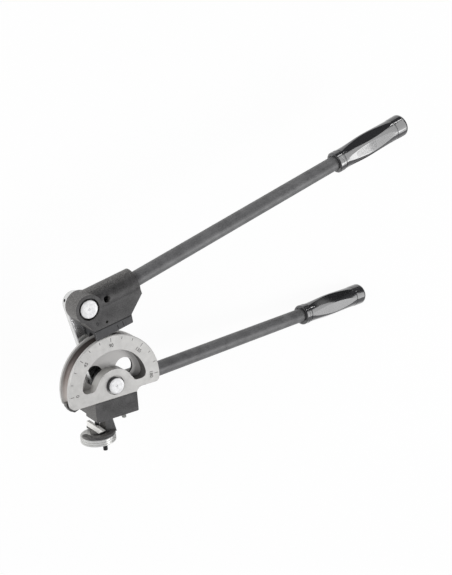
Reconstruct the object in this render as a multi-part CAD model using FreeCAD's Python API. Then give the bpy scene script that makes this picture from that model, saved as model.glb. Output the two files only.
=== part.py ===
import FreeCAD
import Part
import math
import os

# Lever pipe bender. X runs from the 0 mark side to the 180 mark side, Y to the 90 mark,
# Z along the pivot out of the engraved face. The origin is on the pivot axis at the back of the frame.

# Fits
PRESS_GAP = 0.02
RUN_GAP = 0.05
FACE_GAP = 0.3

# Pipe and bending former
PIPE_R = 8.0
GROOVE_PLAY = 0.2
FORMER_R = 62.0
FORMER_T = 24.0
FORMER_FOOT_Y = -16.8
FORMER_STEP_Y = -11.5
FORMER_STEP_X = 28.5
FORMER_STEP_RUN = 5.0
FORMER_LEFT_ROUND = 8.0
FORMER_RIGHT_ROUND = 6.0
FORMER_EDGE_BREAK = 0.8
POCKET_R = 43.5
POCKET_DEPTH = 12.5
WEB_T = 4.5
LOBE_FLOOR_Y = -1.3
LOBE_OUTER_ROUND = 7.0
LOBE_INNER_ROUND = 5.0
HUB_FOOT_X = 27.5
HUB_FLANK_DEG = 57.2
HUB_CREST_R = 25.4
WEB_HOLE_X = 20.3
WEB_HOLE_Y = 14.3
WEB_HOLE_R = 11.9

# Pivot
PIVOT_R = 8.0
PIVOT_HEAD_R = 9.8
PIVOT_HEAD_STAND = 4.7
PIVOT_RECESS_R = 12.0
PIVOT_RECESS_DEPTH = 2.0
PIN_CHAMFER = 0.8
SPACER_R = 14.0
SPACER_T = 3.0
GRUB_R = 2.5
GRUB_SINK = 0.6

# Link
LINK_LENGTH = 105.5
LINK_T = 9.7
LINK_PIVOT_END_R = 16.0
LINK_LEVER_END_R = 14.0
LINK_EDGE_BREAK = 0.8
BUSH_WALL = 2.5
LINK_GRUB_R = 2.0
LINK_GRUB_DEG = 157.0

# Lever head. Its own axes: u along the upper handle, v across it, from the lever pin
LEVER_PIN_R = 8.0
LEVER_PIN_HEAD_R = 11.4
LEVER_PIN_HEAD_T = 5.5
LEVER_PIN_HEAD_STAND = 1.2
LEVER_HEAD_PLAY = 0.5
LEVER_BOSS_R = 17.5
LEVER_BOSS_STAND = 0.8
CHEEK_T = 2.6
UPPER_AXIS_V = -3.6
UPPER_SOCKET_R = 16.3
UPPER_SOCKET_END_U = 71.5
UPPER_TUBE_START_U = 16.0
UPPER_GRIP_START_U = 380.5
LEVER_TOP_U = 62.0
LEVER_TOP_V = 12.4
LEVER_TAIL = ((-13.3, -11.1), (-8.5, -23.8), (-2.2, -31.0))
LEVER_TOE = ((51.6, -33.3), (70.6, -18.9), (71.5, -8.7))
UPPER_ROLL_PIN_U = 25.7
UPPER_ROLL_PIN_V = -1.6
ROLL_PIN_R = 3.0
ROLL_PIN_WALL = 1.2
ROLL_RECESS_R = 4.3
ROLL_RECESS_DEPTH = 5.0

# Bending shoe. Its own axes: s along the pipe, t away from the pivot
CONTACT_DEG = 102.6
SHOE_TO_HANDLE_DEG = 2.99
SHOE_LEFT_S = -4.1
SHOE_RIGHT_S = 46.8
SHOE_DRAFT_S = 1.4
SHOE_SHOWN_T = 11.9
SHOE_TENON_T = 9.8
SHOE_CORNER_ROUND = 1.2
SHOE_PIN_U = 15.6
SHOE_PIN_V = -26.4
SHOE_PIN_R = 1.75
SHOE_PIN_SINK = 1.2

# Frame
BOSS_R = 17.0
BOSS_T = 27.0
PLATE_R = 20.0
PLATE_T = 9.0
LUG_LEFT_X = -29.0
LUG_RIGHT_X = 28.5
LUG_BOTTOM_Y = -41.0
LUG_DEPTH = 27.0
LUG_EDGE_ROUND = 1.5
NECK_BOTTOM_Y = -36.5
GUSSET_T = 7.0
LOWER_AXIS_Y = -23.0
LOWER_AXIS_Z = 15.0
LOWER_RAKE_DEG = 7.2
LOWER_TUBE_START = -22.0
LOWER_SOCKET_END = 60.0
LOWER_GRIP_START = 345.0
SOCKET_WALL = 4.0
LOWER_ROLL_PIN_AT = 46.0
LIP_WIDTH = 14.0
LIP_TOP_Y = -8.6
LIP_REACH = 4.0
LIP_OUTLINE = ((-67.0, -8.6), (-67.0, -13.0), (-62.5, -21.5), (-55.0, -25.5), (-44.0, -25.5), (-29.0, -29.0))
FIXING_X = 14.0
FIXING_R = 2.75
FIXING_REACH = 10.5
FIXING_TAIL = 9.0
FIXING_SOCKET_R = 1.6
FIXING_SOCKET_DEPTH = 3.0

# Tubes and grips
TUBE_R = 9.5
TUBE_WALL = 2.0
GRIP_LENGTH = 140.0
GRIP_TUBE_DEPTH = 124.0
GRIP_COLLAR_R = 14.4
GRIP_COLLAR_LENGTH = 10.0
GRIP_COLLAR_ROUND = 1.5
GRIP_GROOVE_R = 13.0
GRIP_GROOVE_LENGTH = 2.0
GRIP_ROOT_R = 13.6
GRIP_BELLY_R = 16.0
GRIP_BELLY_AT = 70.0
GRIP_NECK_R = 13.8
GRIP_NECK_AT = 121.0
GRIP_CAP_R = 14.8
GRIP_CAP_AT = 129.0
GRIP_TIP_R = 9.0
GRIP_FLATS = 6
GRIP_FLAT_DISTANCE = 14.9

# Clamp under the lug. Its own axes: x as above, y to the back, z up along the clamp screw
CLAMP_X = -23.5
BRACKET_R = 23.5
BRACKET_T = 5.5
BRACKET_TOP_Y = -55.8
BRACKET_BAND = 6.0
BRACKET_HUB_R = 9.0
BRACKET_SLOT_FROM_DEG = 100.0
BRACKET_SLOT_TO_DEG = 325.0
BRACKET_MOUTH_TO_DEG = 175.0
ARM_INNER_X = 4.5
ARM_OUTER_X = 22.0
ARM_HALF_DEPTH = 8.0
BRACKET_HEAD_R = 4.8
BRACKET_HEAD_T = 5.0
SCREW_R = 2.5
KNOB_R = 23.7
KNOB_T = 9.0
KNOB_COLLAR_R = 7.0
KNOB_COLLAR_T = 2.4
KNOB_GROOVE_DEPTH = 1.0
KNOB_GROOVE_HALF = 0.7
KNOB_EDGE_BREAK = 0.8
PEG_R = 2.75
PEG_LENGTH = 7.0
PEG_SEAT = 3.0
PEG_X = 3.5
PEG_Y = -9.0
JAW_WIDTH = 7.5
JAW_HEIGHT = 6.5
JAW_FRONT_Y = -12.0
JAW_REAR_Y = 24.0
JAW_TRAVEL = 7.0

LINK_REAR = BOSS_T + FACE_GAP
LINK_FRONT = LINK_REAR + LINK_T
FORMER_REAR = LINK_FRONT + SPACER_T
FORMER_FRONT = FORMER_REAR + FORMER_T
BEND_Z = FORMER_REAR + FORMER_T / 2
LEVER_REAR = LINK_FRONT + FACE_GAP
LEVER_FRONT = FORMER_FRONT + CHEEK_T
BOSS_FRONT = LEVER_FRONT + LEVER_BOSS_STAND
SHOE_DEG = CONTACT_DEG - 90
HANDLE_DEG = SHOE_DEG + SHOE_TO_HANDLE_DEG
SHOE_FACE_T = FORMER_R + FACE_GAP
LEDGE_T = SHOE_FACE_T + SHOE_SHOWN_T
LEVER_PIN_S = -2.6
LEVER_PIN_T = math.sqrt(LINK_LENGTH ** 2 - LEVER_PIN_S ** 2)
TUBE_BORE_R = TUBE_R + PRESS_GAP
LOWER_SOCKET_R = TUBE_R + SOCKET_WALL
GROOVE_R = PIPE_R + GROOVE_PLAY
OUTSIDE = 300.0


def turned(shape, degrees):
    """A copy of the shape turned about the pivot."""
    copy = shape.copy()
    copy.rotate(FreeCAD.Vector(0, 0, 0), FreeCAD.Vector(0, 0, 1), degrees)
    return copy


def lever_pin_point():
    angle = math.radians(SHOE_DEG)
    x = LEVER_PIN_S * math.cos(angle) - LEVER_PIN_T * math.sin(angle)
    y = LEVER_PIN_S * math.sin(angle) + LEVER_PIN_T * math.cos(angle)
    return x, y


def on_lever(shape):
    """From the lever's own axes to the bender's."""
    x, y = lever_pin_point()
    copy = turned(shape, HANDLE_DEG)
    copy.translate(FreeCAD.Vector(x, y, 0))
    return copy


def on_shoe(shape):
    return turned(shape, SHOE_DEG)


def on_clamp(shape):
    """From the clamp's own axes to the bender's: the screw stands along Y."""
    copy = shape.copy()
    turn = FreeCAD.Rotation(FreeCAD.Vector(1, 0, 0), -90)
    copy.Placement = FreeCAD.Placement(FreeCAD.Vector(CLAMP_X, 0, BEND_Z), turn).multiply(copy.Placement)
    return copy


def on_lower_axis(shape):
    """From a shape along X to the raked axis of the lower handle."""
    copy = shape.copy()
    turn = FreeCAD.Rotation(FreeCAD.Vector(0, 1, 0), LOWER_RAKE_DEG)
    copy.Placement = FreeCAD.Placement(FreeCAD.Vector(0, LOWER_AXIS_Y, LOWER_AXIS_Z), turn).multiply(copy.Placement)
    return copy


def on_upper_axis(shape):
    copy = shape.copy()
    copy.translate(FreeCAD.Vector(0, UPPER_AXIS_V, BEND_Z))
    return on_lever(copy)


def rod(x, y, z0, z1, radius):
    return Part.makeCylinder(radius, z1 - z0, FreeCAD.Vector(x, y, z0))


def rod_along_x(x0, x1, radius):
    return Part.makeCylinder(radius, x1 - x0, FreeCAD.Vector(x0, 0, 0), FreeCAD.Vector(1, 0, 0))


def rod_along_y(x, z, y0, y1, radius):
    return Part.makeCylinder(radius, y1 - y0, FreeCAD.Vector(x, y0, z), FreeCAD.Vector(0, 1, 0))


def rod_outward(x, y, z, degrees, r0, r1, radius):
    """A rod square to Z, pointing away from (x, y)."""
    angle = math.radians(degrees)
    out = FreeCAD.Vector(math.cos(angle), math.sin(angle), 0)
    return Part.makeCylinder(radius, r1 - r0, FreeCAD.Vector(x, y, z) + out * r0, out)


def slab(points, z0, z1):
    corners = [FreeCAD.Vector(x, y, z0) for x, y in points]
    outline = Part.makePolygon(corners + corners[:1])
    return Part.Face(outline).extrude(FreeCAD.Vector(0, 0, z1 - z0))


def block(x0, x1, y0, y1, z0, z1):
    return Part.makeBox(x1 - x0, y1 - y0, z1 - z0, FreeCAD.Vector(x0, y0, z0))


def sector(r0, r1, from_deg, to_deg, z0, z1):
    """A piece of a ring about the local Z axis."""
    base = FreeCAD.Vector(0, 0, z0)
    up = FreeCAD.Vector(0, 0, 1)
    outer = Part.makeCylinder(r1, z1 - z0, base, up, to_deg - from_deg)
    return turned(outer.cut(rod(0, 0, z0, z1, r0)), from_deg)


def belt(ax, ay, ar, bx, by, br, z0, z1):
    """The plate of two round ends joined by their outer tangents."""
    heading = math.atan2(by - ay, bx - ax)
    lean = math.acos((ar - br) / math.hypot(bx - ax, by - ay))

    def rim(x, y, radius, angle):
        return FreeCAD.Vector(x + radius * math.cos(angle), y + radius * math.sin(angle), z0)

    a_left = rim(ax, ay, ar, heading + lean)
    a_back = rim(ax, ay, ar, heading + math.pi)
    a_right = rim(ax, ay, ar, heading - lean)
    b_right = rim(bx, by, br, heading - lean)
    b_nose = rim(bx, by, br, heading)
    b_left = rim(bx, by, br, heading + lean)
    edges = [
        Part.Arc(a_left, a_back, a_right).toShape(),
        Part.LineSegment(a_right, b_right).toShape(),
        Part.Arc(b_right, b_nose, b_left).toShape(),
        Part.LineSegment(b_left, a_left).toShape(),
    ]
    return Part.Face(Part.Wire(edges)).extrude(FreeCAD.Vector(0, 0, z1 - z0))


def upright_edges(shape, x, y):
    """The edges that run along Z through (x, y)."""
    found = []
    for edge in shape.Edges:
        ends = [vertex.Point for vertex in edge.Vertexes]
        if len(ends) == 2 and all(math.hypot(p.x - x, p.y - y) < 0.01 for p in ends):
            found.append(edge)
    return found


def edges_at_height(shape, z):
    found = []
    for edge in shape.Edges:
        box = edge.BoundBox
        if abs(box.ZMin - z) < 0.001 and abs(box.ZMax - z) < 0.001:
            found.append(edge)
    return found


def pin(x, y, z0, z1, radius, bevel):
    """A round pin with both ends bevelled."""
    blank = rod(x, y, z0, z1, radius)
    rims = edges_at_height(blank, z0) + edges_at_height(blank, z1)
    return blank.makeChamfer(bevel, rims)


def hub_prism(z0, z1):
    """The hub between the two lobes of the pocket: straight flanks and a round crest."""
    rise = HUB_FOOT_X * math.tan(math.radians(HUB_FLANK_DEG))
    below = FORMER_R / 2
    foot = HUB_FOOT_X * (rise + below) / rise
    apex_y = LOBE_FLOOR_Y + rise
    outline = [(-foot, LOBE_FLOOR_Y - below), (foot, LOBE_FLOOR_Y - below), (0, apex_y)]
    prism = slab(outline, z0, z1)
    return prism.makeFillet(HUB_CREST_R, upright_edges(prism, 0, apex_y))


def pocket_prism(z0, z1):
    """The kidney pocket of the former, over the hub, with rounded lobes."""
    upper = block(-POCKET_R, POCKET_R, LOBE_FLOOR_Y, POCKET_R, z0, z1)
    pocket = rod(0, 0, z0, z1, POCKET_R).common(upper).cut(hub_prism(z0, z1))
    end_x = math.sqrt(POCKET_R ** 2 - LOBE_FLOOR_Y ** 2)
    outer = upright_edges(pocket, end_x, LOBE_FLOOR_Y) + upright_edges(pocket, -end_x, LOBE_FLOOR_Y)
    pocket = pocket.makeFillet(LOBE_OUTER_ROUND, outer)
    inner = upright_edges(pocket, HUB_FOOT_X, LOBE_FLOOR_Y) + upright_edges(pocket, -HUB_FOOT_X, LOBE_FLOOR_Y)
    return pocket.makeFillet(LOBE_INNER_ROUND, inner)


def former_blank(radius, foot_y, z0, z1):
    """The former's outline: a disc with its foot cut flat and stepped up on the right."""
    lift = foot_y - FORMER_FOOT_Y
    step_y = FORMER_STEP_Y + lift
    outline = [
        (-OUTSIDE, foot_y),
        (FORMER_STEP_X, foot_y),
        (FORMER_STEP_X + FORMER_STEP_RUN, step_y),
        (OUTSIDE, step_y),
        (OUTSIDE, OUTSIDE),
        (-OUTSIDE, OUTSIDE),
    ]
    return rod(0, 0, z0, z1, radius).common(slab(outline, z0, z1))


def bend_former():
    body = former_blank(FORMER_R, FORMER_FOOT_Y, FORMER_REAR, FORMER_FRONT)
    left_x = -math.sqrt(FORMER_R ** 2 - FORMER_FOOT_Y ** 2)
    right_x = math.sqrt(FORMER_R ** 2 - FORMER_STEP_Y ** 2)
    body = body.makeFillet(FORMER_LEFT_ROUND, upright_edges(body, left_x, FORMER_FOOT_Y))
    body = body.makeFillet(FORMER_RIGHT_ROUND, upright_edges(body, right_x, FORMER_STEP_Y))
    faces = edges_at_height(body, FORMER_REAR) + edges_at_height(body, FORMER_FRONT)
    body = body.makeChamfer(FORMER_EDGE_BREAK, faces)
    body = body.cut(Part.makeTorus(FORMER_R, GROOVE_R, FreeCAD.Vector(0, 0, BEND_Z)))
    web_front = FORMER_FRONT - POCKET_DEPTH
    web_rear = web_front - WEB_T
    body = body.cut(pocket_prism(web_front, FORMER_FRONT + 1))
    body = body.cut(pocket_prism(FORMER_REAR - 1, web_rear))
    hub = hub_prism(web_rear - 1, web_front + 1)
    for side in (-1, 1):
        hole = rod(side * WEB_HOLE_X, WEB_HOLE_Y, web_rear - 1, web_front + 1, WEB_HOLE_R)
        body = body.cut(hole.cut(hub))
    recess_z = FORMER_FRONT - PIVOT_RECESS_DEPTH
    body = body.cut(rod(0, 0, recess_z, FORMER_FRONT + 1, PIVOT_RECESS_R))
    body = body.cut(rod(0, 0, FORMER_REAR - 1, recess_z + 1, PIVOT_R + PRESS_GAP))
    for x in (-FIXING_X, FIXING_X):
        top = FORMER_FOOT_Y + FIXING_REACH
        body = body.cut(rod_along_y(x, BEND_Z, FORMER_FOOT_Y - 1, top, FIXING_R + PRESS_GAP))
    return body


def pivot_pin():
    head_z = FORMER_FRONT - PIVOT_RECESS_DEPTH
    top = FORMER_FRONT + PIVOT_HEAD_STAND
    head = rod(0, 0, head_z, top, PIVOT_HEAD_R)
    head = head.makeChamfer(PIN_CHAMFER, edges_at_height(head, top))
    return rod(0, 0, 0, head_z, PIVOT_R).fuse(head).removeSplitter()


def pivot_spacer():
    blank = rod(0, 0, LINK_FRONT, FORMER_REAR, SPACER_R)
    return blank.cut(rod(0, 0, LINK_FRONT - 1, FORMER_REAR + 1, PIVOT_R + PRESS_GAP))


def pivot_grub(gap):
    return rod_outward(0, 0, BOSS_T / 2, 90, PIVOT_R + PRESS_GAP, BOSS_R - GRUB_SINK + gap, GRUB_R)


def link_plate():
    x, y = lever_pin_point()
    plate = belt(0, 0, LINK_PIVOT_END_R, x, y, LINK_LEVER_END_R, LINK_REAR, LINK_FRONT)
    faces = edges_at_height(plate, LINK_REAR) + edges_at_height(plate, LINK_FRONT)
    plate = plate.makeChamfer(LINK_EDGE_BREAK, faces)
    plate = plate.cut(rod(0, 0, LINK_REAR - 1, LINK_FRONT + 1, PIVOT_R + BUSH_WALL + PRESS_GAP))
    plate = plate.cut(rod(x, y, LINK_REAR - 1, LINK_FRONT + 1, LEVER_PIN_R + PRESS_GAP))
    return plate.cut(link_grub(OUTSIDE))


def link_grub(gap):
    x, y = lever_pin_point()
    mid = LINK_REAR + LINK_T / 2
    tip = LEVER_PIN_R + PRESS_GAP
    return rod_outward(x, y, mid, LINK_GRUB_DEG, tip, LINK_LEVER_END_R - GRUB_SINK + gap, LINK_GRUB_R)


def link_bush():
    outer = rod(0, 0, LINK_REAR, LINK_FRONT, PIVOT_R + BUSH_WALL)
    return outer.cut(rod(0, 0, LINK_REAR - 1, LINK_FRONT + 1, PIVOT_R + RUN_GAP))


def lever_head_floor():
    """The height of the floor under the lever pin's head."""
    return BOSS_FRONT + LEVER_PIN_HEAD_STAND - LEVER_PIN_HEAD_T - FACE_GAP


def lever_pin():
    x, y = lever_pin_point()
    head_z = lever_head_floor() + FACE_GAP
    top = head_z + LEVER_PIN_HEAD_T
    head = rod(x, y, head_z, top, LEVER_PIN_HEAD_R)
    head = head.makeChamfer(PIN_CHAMFER, edges_at_height(head, top))
    return rod(x, y, LINK_REAR, head_z, LEVER_PIN_R).fuse(head).removeSplitter()


def lever_bush():
    x, y = lever_pin_point()
    outer = rod(x, y, LEVER_REAR, lever_head_floor(), LEVER_PIN_R + BUSH_WALL)
    return outer.cut(rod(x, y, LEVER_REAR - 1, lever_head_floor() + 1, LEVER_PIN_R + RUN_GAP))


def shoe_outline():
    """The shoe's outline in its own axes, with its tenon up in the lever head."""
    foot = SHOE_FACE_T
    top = LEDGE_T + SHOE_TENON_T
    lean = SHOE_DRAFT_S / SHOE_SHOWN_T
    rise = top - foot
    return [
        (SHOE_LEFT_S, foot),
        (SHOE_RIGHT_S, foot),
        (SHOE_RIGHT_S + lean * rise, top),
        (SHOE_LEFT_S + lean * rise, top),
    ]


def bending_shoe():
    outline = shoe_outline()
    shoe = slab(outline, FORMER_REAR, FORMER_FRONT)
    corners = upright_edges(shoe, *outline[0]) + upright_edges(shoe, *outline[1])
    shoe = shoe.makeFillet(SHOE_CORNER_ROUND, corners)
    groove = rod_along_x(SHOE_LEFT_S - OUTSIDE, SHOE_RIGHT_S + OUTSIDE, GROOVE_R)
    groove.translate(FreeCAD.Vector(0, FORMER_R, BEND_Z))
    return on_shoe(shoe.cut(groove)).cut(shoe_pin(PRESS_GAP, OUTSIDE))


def shoe_pin(gap, reach):
    blank = rod(SHOE_PIN_U, SHOE_PIN_V, LEVER_REAR - reach, LEVER_FRONT - SHOE_PIN_SINK + reach, SHOE_PIN_R + gap)
    return on_lever(blank)


def shoe_channel():
    """The slot between the two cheeks of the lever head, and all below the ledge."""
    tenon = shoe_outline()
    left = tenon[0][0] - OUTSIDE
    right = tenon[1][0] + OUTSIDE
    top = tenon[2][1] + FACE_GAP
    slot = block(left, right, LEDGE_T - 1, top, FORMER_REAR, FORMER_FRONT)
    below = block(left, right, LEDGE_T - OUTSIDE, LEDGE_T, LEVER_REAR - 1, LEVER_FRONT + OUTSIDE)
    return on_shoe(slot.fuse(below))


def lever_casting():
    plate = slab(((0, 0),) + LEVER_TAIL + ((0, -60), (51.6, -60)) + LEVER_TOE + ((UPPER_SOCKET_END_U, UPPER_AXIS_V),),
                 LEVER_REAR, LEVER_FRONT)
    boss = rod(0, 0, LEVER_REAR, BOSS_FRONT, LEVER_BOSS_R)
    boss = boss.makeFillet(LEVER_BOSS_STAND / 2, edges_at_height(boss, BOSS_FRONT))
    top = slab(((0, 0), (0, LEVER_BOSS_R - 0.5), (LEVER_TOP_U, LEVER_TOP_V), (LEVER_TOP_U, UPPER_AXIS_V)),
               BEND_Z - UPPER_SOCKET_R / 2, BEND_Z + UPPER_SOCKET_R / 2)
    socket = rod_along_x(0, UPPER_SOCKET_END_U, UPPER_SOCKET_R)
    socket.translate(FreeCAD.Vector(0, UPPER_AXIS_V, BEND_Z))
    behind = block(-OUTSIDE, OUTSIDE, -OUTSIDE, OUTSIDE, LEVER_REAR - OUTSIDE, LEVER_REAR)
    socket = socket.cut(behind)
    body = plate.fuse(boss).fuse(top).fuse(socket).removeSplitter()
    bore = rod_along_x(UPPER_TUBE_START_U, UPPER_SOCKET_END_U + 1, TUBE_BORE_R)
    bore.translate(FreeCAD.Vector(0, UPPER_AXIS_V, BEND_Z))
    body = body.cut(bore)
    body = body.cut(rod(0, 0, LEVER_REAR - 1, BOSS_FRONT + 1, LEVER_PIN_R + BUSH_WALL + PRESS_GAP))
    body = body.cut(rod(0, 0, lever_head_floor(), BOSS_FRONT + 1, LEVER_PIN_HEAD_R + LEVER_HEAD_PLAY))
    u = UPPER_ROLL_PIN_U
    v = UPPER_ROLL_PIN_V
    body = body.cut(rod(u, v, LEVER_REAR - 1, OUTSIDE, ROLL_PIN_R + PRESS_GAP))
    body = body.cut(rod(u, v, LEVER_FRONT - ROLL_RECESS_DEPTH, OUTSIDE, ROLL_RECESS_R))
    body = on_lever(body)
    body = body.cut(shoe_channel())
    return body.cut(shoe_pin(PRESS_GAP, OUTSIDE))


def spring_pin(x, y, z0, z1):
    """A rolled spring pin: a tube slit along one side."""
    tube = rod(x, y, z0, z1, ROLL_PIN_R).cut(rod(x, y, z0 - 1, z1 + 1, ROLL_PIN_R - ROLL_PIN_WALL))
    slit = block(x, x + 2 * ROLL_PIN_R, y - ROLL_PIN_WALL / 4, y + ROLL_PIN_WALL / 4, z0 - 1, z1 + 1)
    return tube.cut(slit)


def upper_roll_pin():
    return on_lever(spring_pin(UPPER_ROLL_PIN_U, UPPER_ROLL_PIN_V, LEVER_REAR + 1, LEVER_FRONT - ROLL_RECESS_DEPTH))


def lower_roll_pin():
    """The pin through the lower socket, square to the raked tube."""
    return on_lower_axis(spring_pin(LOWER_ROLL_PIN_AT, 0, -LOWER_SOCKET_R + 1, LOWER_SOCKET_R - 1))


def tube(x0, x1):
    return rod_along_x(x0, x1, TUBE_R).cut(rod_along_x(x0 - 1, x1 + 1, TUBE_R - TUBE_WALL))


def upper_handle_tube():
    pipe = tube(UPPER_TUBE_START_U, UPPER_GRIP_START_U + GRIP_TUBE_DEPTH)
    across = UPPER_ROLL_PIN_V - UPPER_AXIS_V
    hole = rod(UPPER_ROLL_PIN_U, across, -TUBE_R - 1, TUBE_R + 1, ROLL_PIN_R + PRESS_GAP)
    return on_upper_axis(pipe.cut(hole))


def lower_handle_tube():
    pipe = tube(LOWER_TUBE_START, LOWER_GRIP_START + GRIP_TUBE_DEPTH)
    hole = rod(LOWER_ROLL_PIN_AT, 0, -TUBE_R - 1, TUBE_R + 1, ROLL_PIN_R + PRESS_GAP)
    return on_lower_axis(pipe.cut(hole))


def grip():
    """A grip along X: collar, waisted barrel with lens-shaped flats and a domed cap."""
    def at(x, radius):
        return FreeCAD.Vector(x, 0, radius)

    root_x = GRIP_COLLAR_LENGTH + GRIP_GROOVE_LENGTH
    shoulder = GRIP_COLLAR_R - GRIP_COLLAR_ROUND
    soft = GRIP_COLLAR_ROUND * (1 - math.sqrt(0.5))
    edges = [
        Part.LineSegment(at(0, 0), at(0, shoulder)),
        Part.Arc(at(0, shoulder), at(soft, GRIP_COLLAR_R - soft), at(GRIP_COLLAR_ROUND, GRIP_COLLAR_R)),
        Part.LineSegment(at(GRIP_COLLAR_ROUND, GRIP_COLLAR_R), at(GRIP_COLLAR_LENGTH, GRIP_COLLAR_R)),
        Part.LineSegment(at(GRIP_COLLAR_LENGTH, GRIP_COLLAR_R), at(GRIP_COLLAR_LENGTH, GRIP_GROOVE_R)),
        Part.LineSegment(at(GRIP_COLLAR_LENGTH, GRIP_GROOVE_R), at(root_x, GRIP_GROOVE_R)),
        Part.LineSegment(at(root_x, GRIP_GROOVE_R), at(root_x, GRIP_ROOT_R)),
        Part.Arc(at(root_x, GRIP_ROOT_R), at(GRIP_BELLY_AT, GRIP_BELLY_R), at(GRIP_NECK_AT, GRIP_NECK_R)),
        Part.LineSegment(at(GRIP_NECK_AT, GRIP_NECK_R), at(GRIP_CAP_AT, GRIP_CAP_R)),
        Part.Arc(at(GRIP_CAP_AT, GRIP_CAP_R), at((GRIP_CAP_AT + GRIP_LENGTH) / 2 + 1.8, (GRIP_CAP_R + GRIP_TIP_R) / 2 + 1.2),
                 at(GRIP_LENGTH, GRIP_TIP_R)),
        Part.LineSegment(at(GRIP_LENGTH, GRIP_TIP_R), at(GRIP_LENGTH, 0)),
        Part.LineSegment(at(GRIP_LENGTH, 0), at(0, 0)),
    ]
    outline = Part.Wire([edge.toShape() for edge in edges])
    body = Part.Face(outline).revolve(FreeCAD.Vector(0, 0, 0), FreeCAD.Vector(1, 0, 0), 360)
    side = block(0, GRIP_NECK_AT, -GRIP_BELLY_R, GRIP_BELLY_R, GRIP_FLAT_DISTANCE, GRIP_BELLY_R * 2)
    for n in range(GRIP_FLATS):
        flat = side.copy()
        flat.rotate(FreeCAD.Vector(0, 0, 0), FreeCAD.Vector(1, 0, 0), n * 360 / GRIP_FLATS)
        body = body.cut(flat)
    return body.cut(rod_along_x(-1, GRIP_TUBE_DEPTH, TUBE_BORE_R))


def upper_grip():
    sleeve = grip()
    sleeve.translate(FreeCAD.Vector(UPPER_GRIP_START_U, 0, 0))
    return on_upper_axis(sleeve)


def lower_grip():
    sleeve = grip()
    sleeve.translate(FreeCAD.Vector(LOWER_GRIP_START, 0, 0))
    return on_lower_axis(sleeve)


def tube_rest_lip():
    """The lip that wraps the former's lower left corner, within the width of the groove."""
    z0 = BEND_Z - LIP_WIDTH / 2
    z1 = BEND_Z + LIP_WIDTH / 2
    blank = slab(LIP_OUTLINE + ((LUG_LEFT_X, 0), (LIP_OUTLINE[0][0], LIP_TOP_Y)), z0, z1)
    above = block(-OUTSIDE, OUTSIDE, LIP_TOP_Y, OUTSIDE, z0 - 1, z1 + 1)
    inside = former_blank(FORMER_R + FACE_GAP, FORMER_FOOT_Y - FACE_GAP, z0 - 1, z1 + 1)
    return blank.cut(above).cut(inside)


def frame_casting():
    lug = block(LUG_LEFT_X, LUG_RIGHT_X, LUG_BOTTOM_Y, FORMER_FOOT_Y, FORMER_FRONT - LUG_DEPTH, FORMER_FRONT)
    corners = upright_edges(lug, LUG_LEFT_X, LUG_BOTTOM_Y) + upright_edges(lug, LUG_RIGHT_X, LUG_BOTTOM_Y)
    lug = lug.makeFillet(LUG_EDGE_ROUND, corners)
    neck = block(LUG_LEFT_X, LUG_RIGHT_X, NECK_BOTTOM_Y, FORMER_FOOT_Y, 0, FORMER_FRONT - LUG_DEPTH / 2)
    shield = slab(((-PLATE_R, 0), (LUG_LEFT_X, FORMER_FOOT_Y), (LUG_LEFT_X, NECK_BOTTOM_Y),
                   (LUG_RIGHT_X, NECK_BOTTOM_Y), (LUG_RIGHT_X, FORMER_FOOT_Y), (PLATE_R, 0)), 0, PLATE_T)
    disc = rod(0, 0, 0, PLATE_T, PLATE_R)
    boss = rod(0, 0, 0, BOSS_T, BOSS_R)
    gusset = slab(((0, LOWER_AXIS_Y), (LOWER_SOCKET_END - 2, LOWER_AXIS_Y), (LOWER_SOCKET_END - 2, LOWER_AXIS_Y + 6),
                   (PLATE_R, 0), (0, 0)), 0, GUSSET_T)
    socket = on_lower_axis(rod_along_x(LUG_LEFT_X, LOWER_SOCKET_END, LOWER_SOCKET_R))
    sweep = block(-OUTSIDE, OUTSIDE, FORMER_FOOT_Y, OUTSIDE, BOSS_T, OUTSIDE)
    body = socket.cut(sweep)
    for piece in (neck, lug, shield, disc, boss, gusset, tube_rest_lip()):
        body = body.fuse(piece)
    body = body.removeSplitter()
    body = body.cut(on_lower_axis(rod_along_x(LOWER_TUBE_START, OUTSIDE, TUBE_BORE_R)))
    body = body.cut(on_lower_axis(rod(LOWER_ROLL_PIN_AT, 0, -LOWER_SOCKET_R * 2, LOWER_SOCKET_R * 2, ROLL_PIN_R + PRESS_GAP)))
    body = body.cut(rod(0, 0, -1, BOSS_T + 1, PIVOT_R + PRESS_GAP))
    body = body.cut(pivot_grub(BOSS_R))
    for x in (-FIXING_X, FIXING_X):
        body = body.cut(rod_along_y(x, BEND_Z, LUG_BOTTOM_Y - 1, FORMER_FOOT_Y + 1, FIXING_R + PRESS_GAP))
    return body


def former_screw():
    """The screw stud on the right that holds the former down on the lug."""
    foot = LUG_BOTTOM_Y - FIXING_TAIL
    stud = rod_along_y(FIXING_X, BEND_Z, foot, FORMER_FOOT_Y + FIXING_REACH, FIXING_R)
    return stud.cut(rod_along_y(FIXING_X, BEND_Z, foot - 1, foot + FIXING_SOCKET_DEPTH, FIXING_SOCKET_R))


def bracket_foot():
    return BRACKET_TOP_Y - BRACKET_T


def bracket_screw():
    """The long screw on the left, up through the clamp bracket and the lug into the former."""
    foot = bracket_foot()
    shank = rod_along_y(-FIXING_X, BEND_Z, foot + BRACKET_HEAD_T, FORMER_FOOT_Y + FIXING_REACH, FIXING_R)
    head = rod_along_y(-FIXING_X, BEND_Z, foot, foot + BRACKET_HEAD_T, BRACKET_HEAD_R)
    socket = rod_along_y(-FIXING_X, BEND_Z, foot - 1, foot + FIXING_SOCKET_DEPTH, FIXING_SOCKET_R)
    return shank.fuse(head).removeSplitter().cut(socket)


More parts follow.
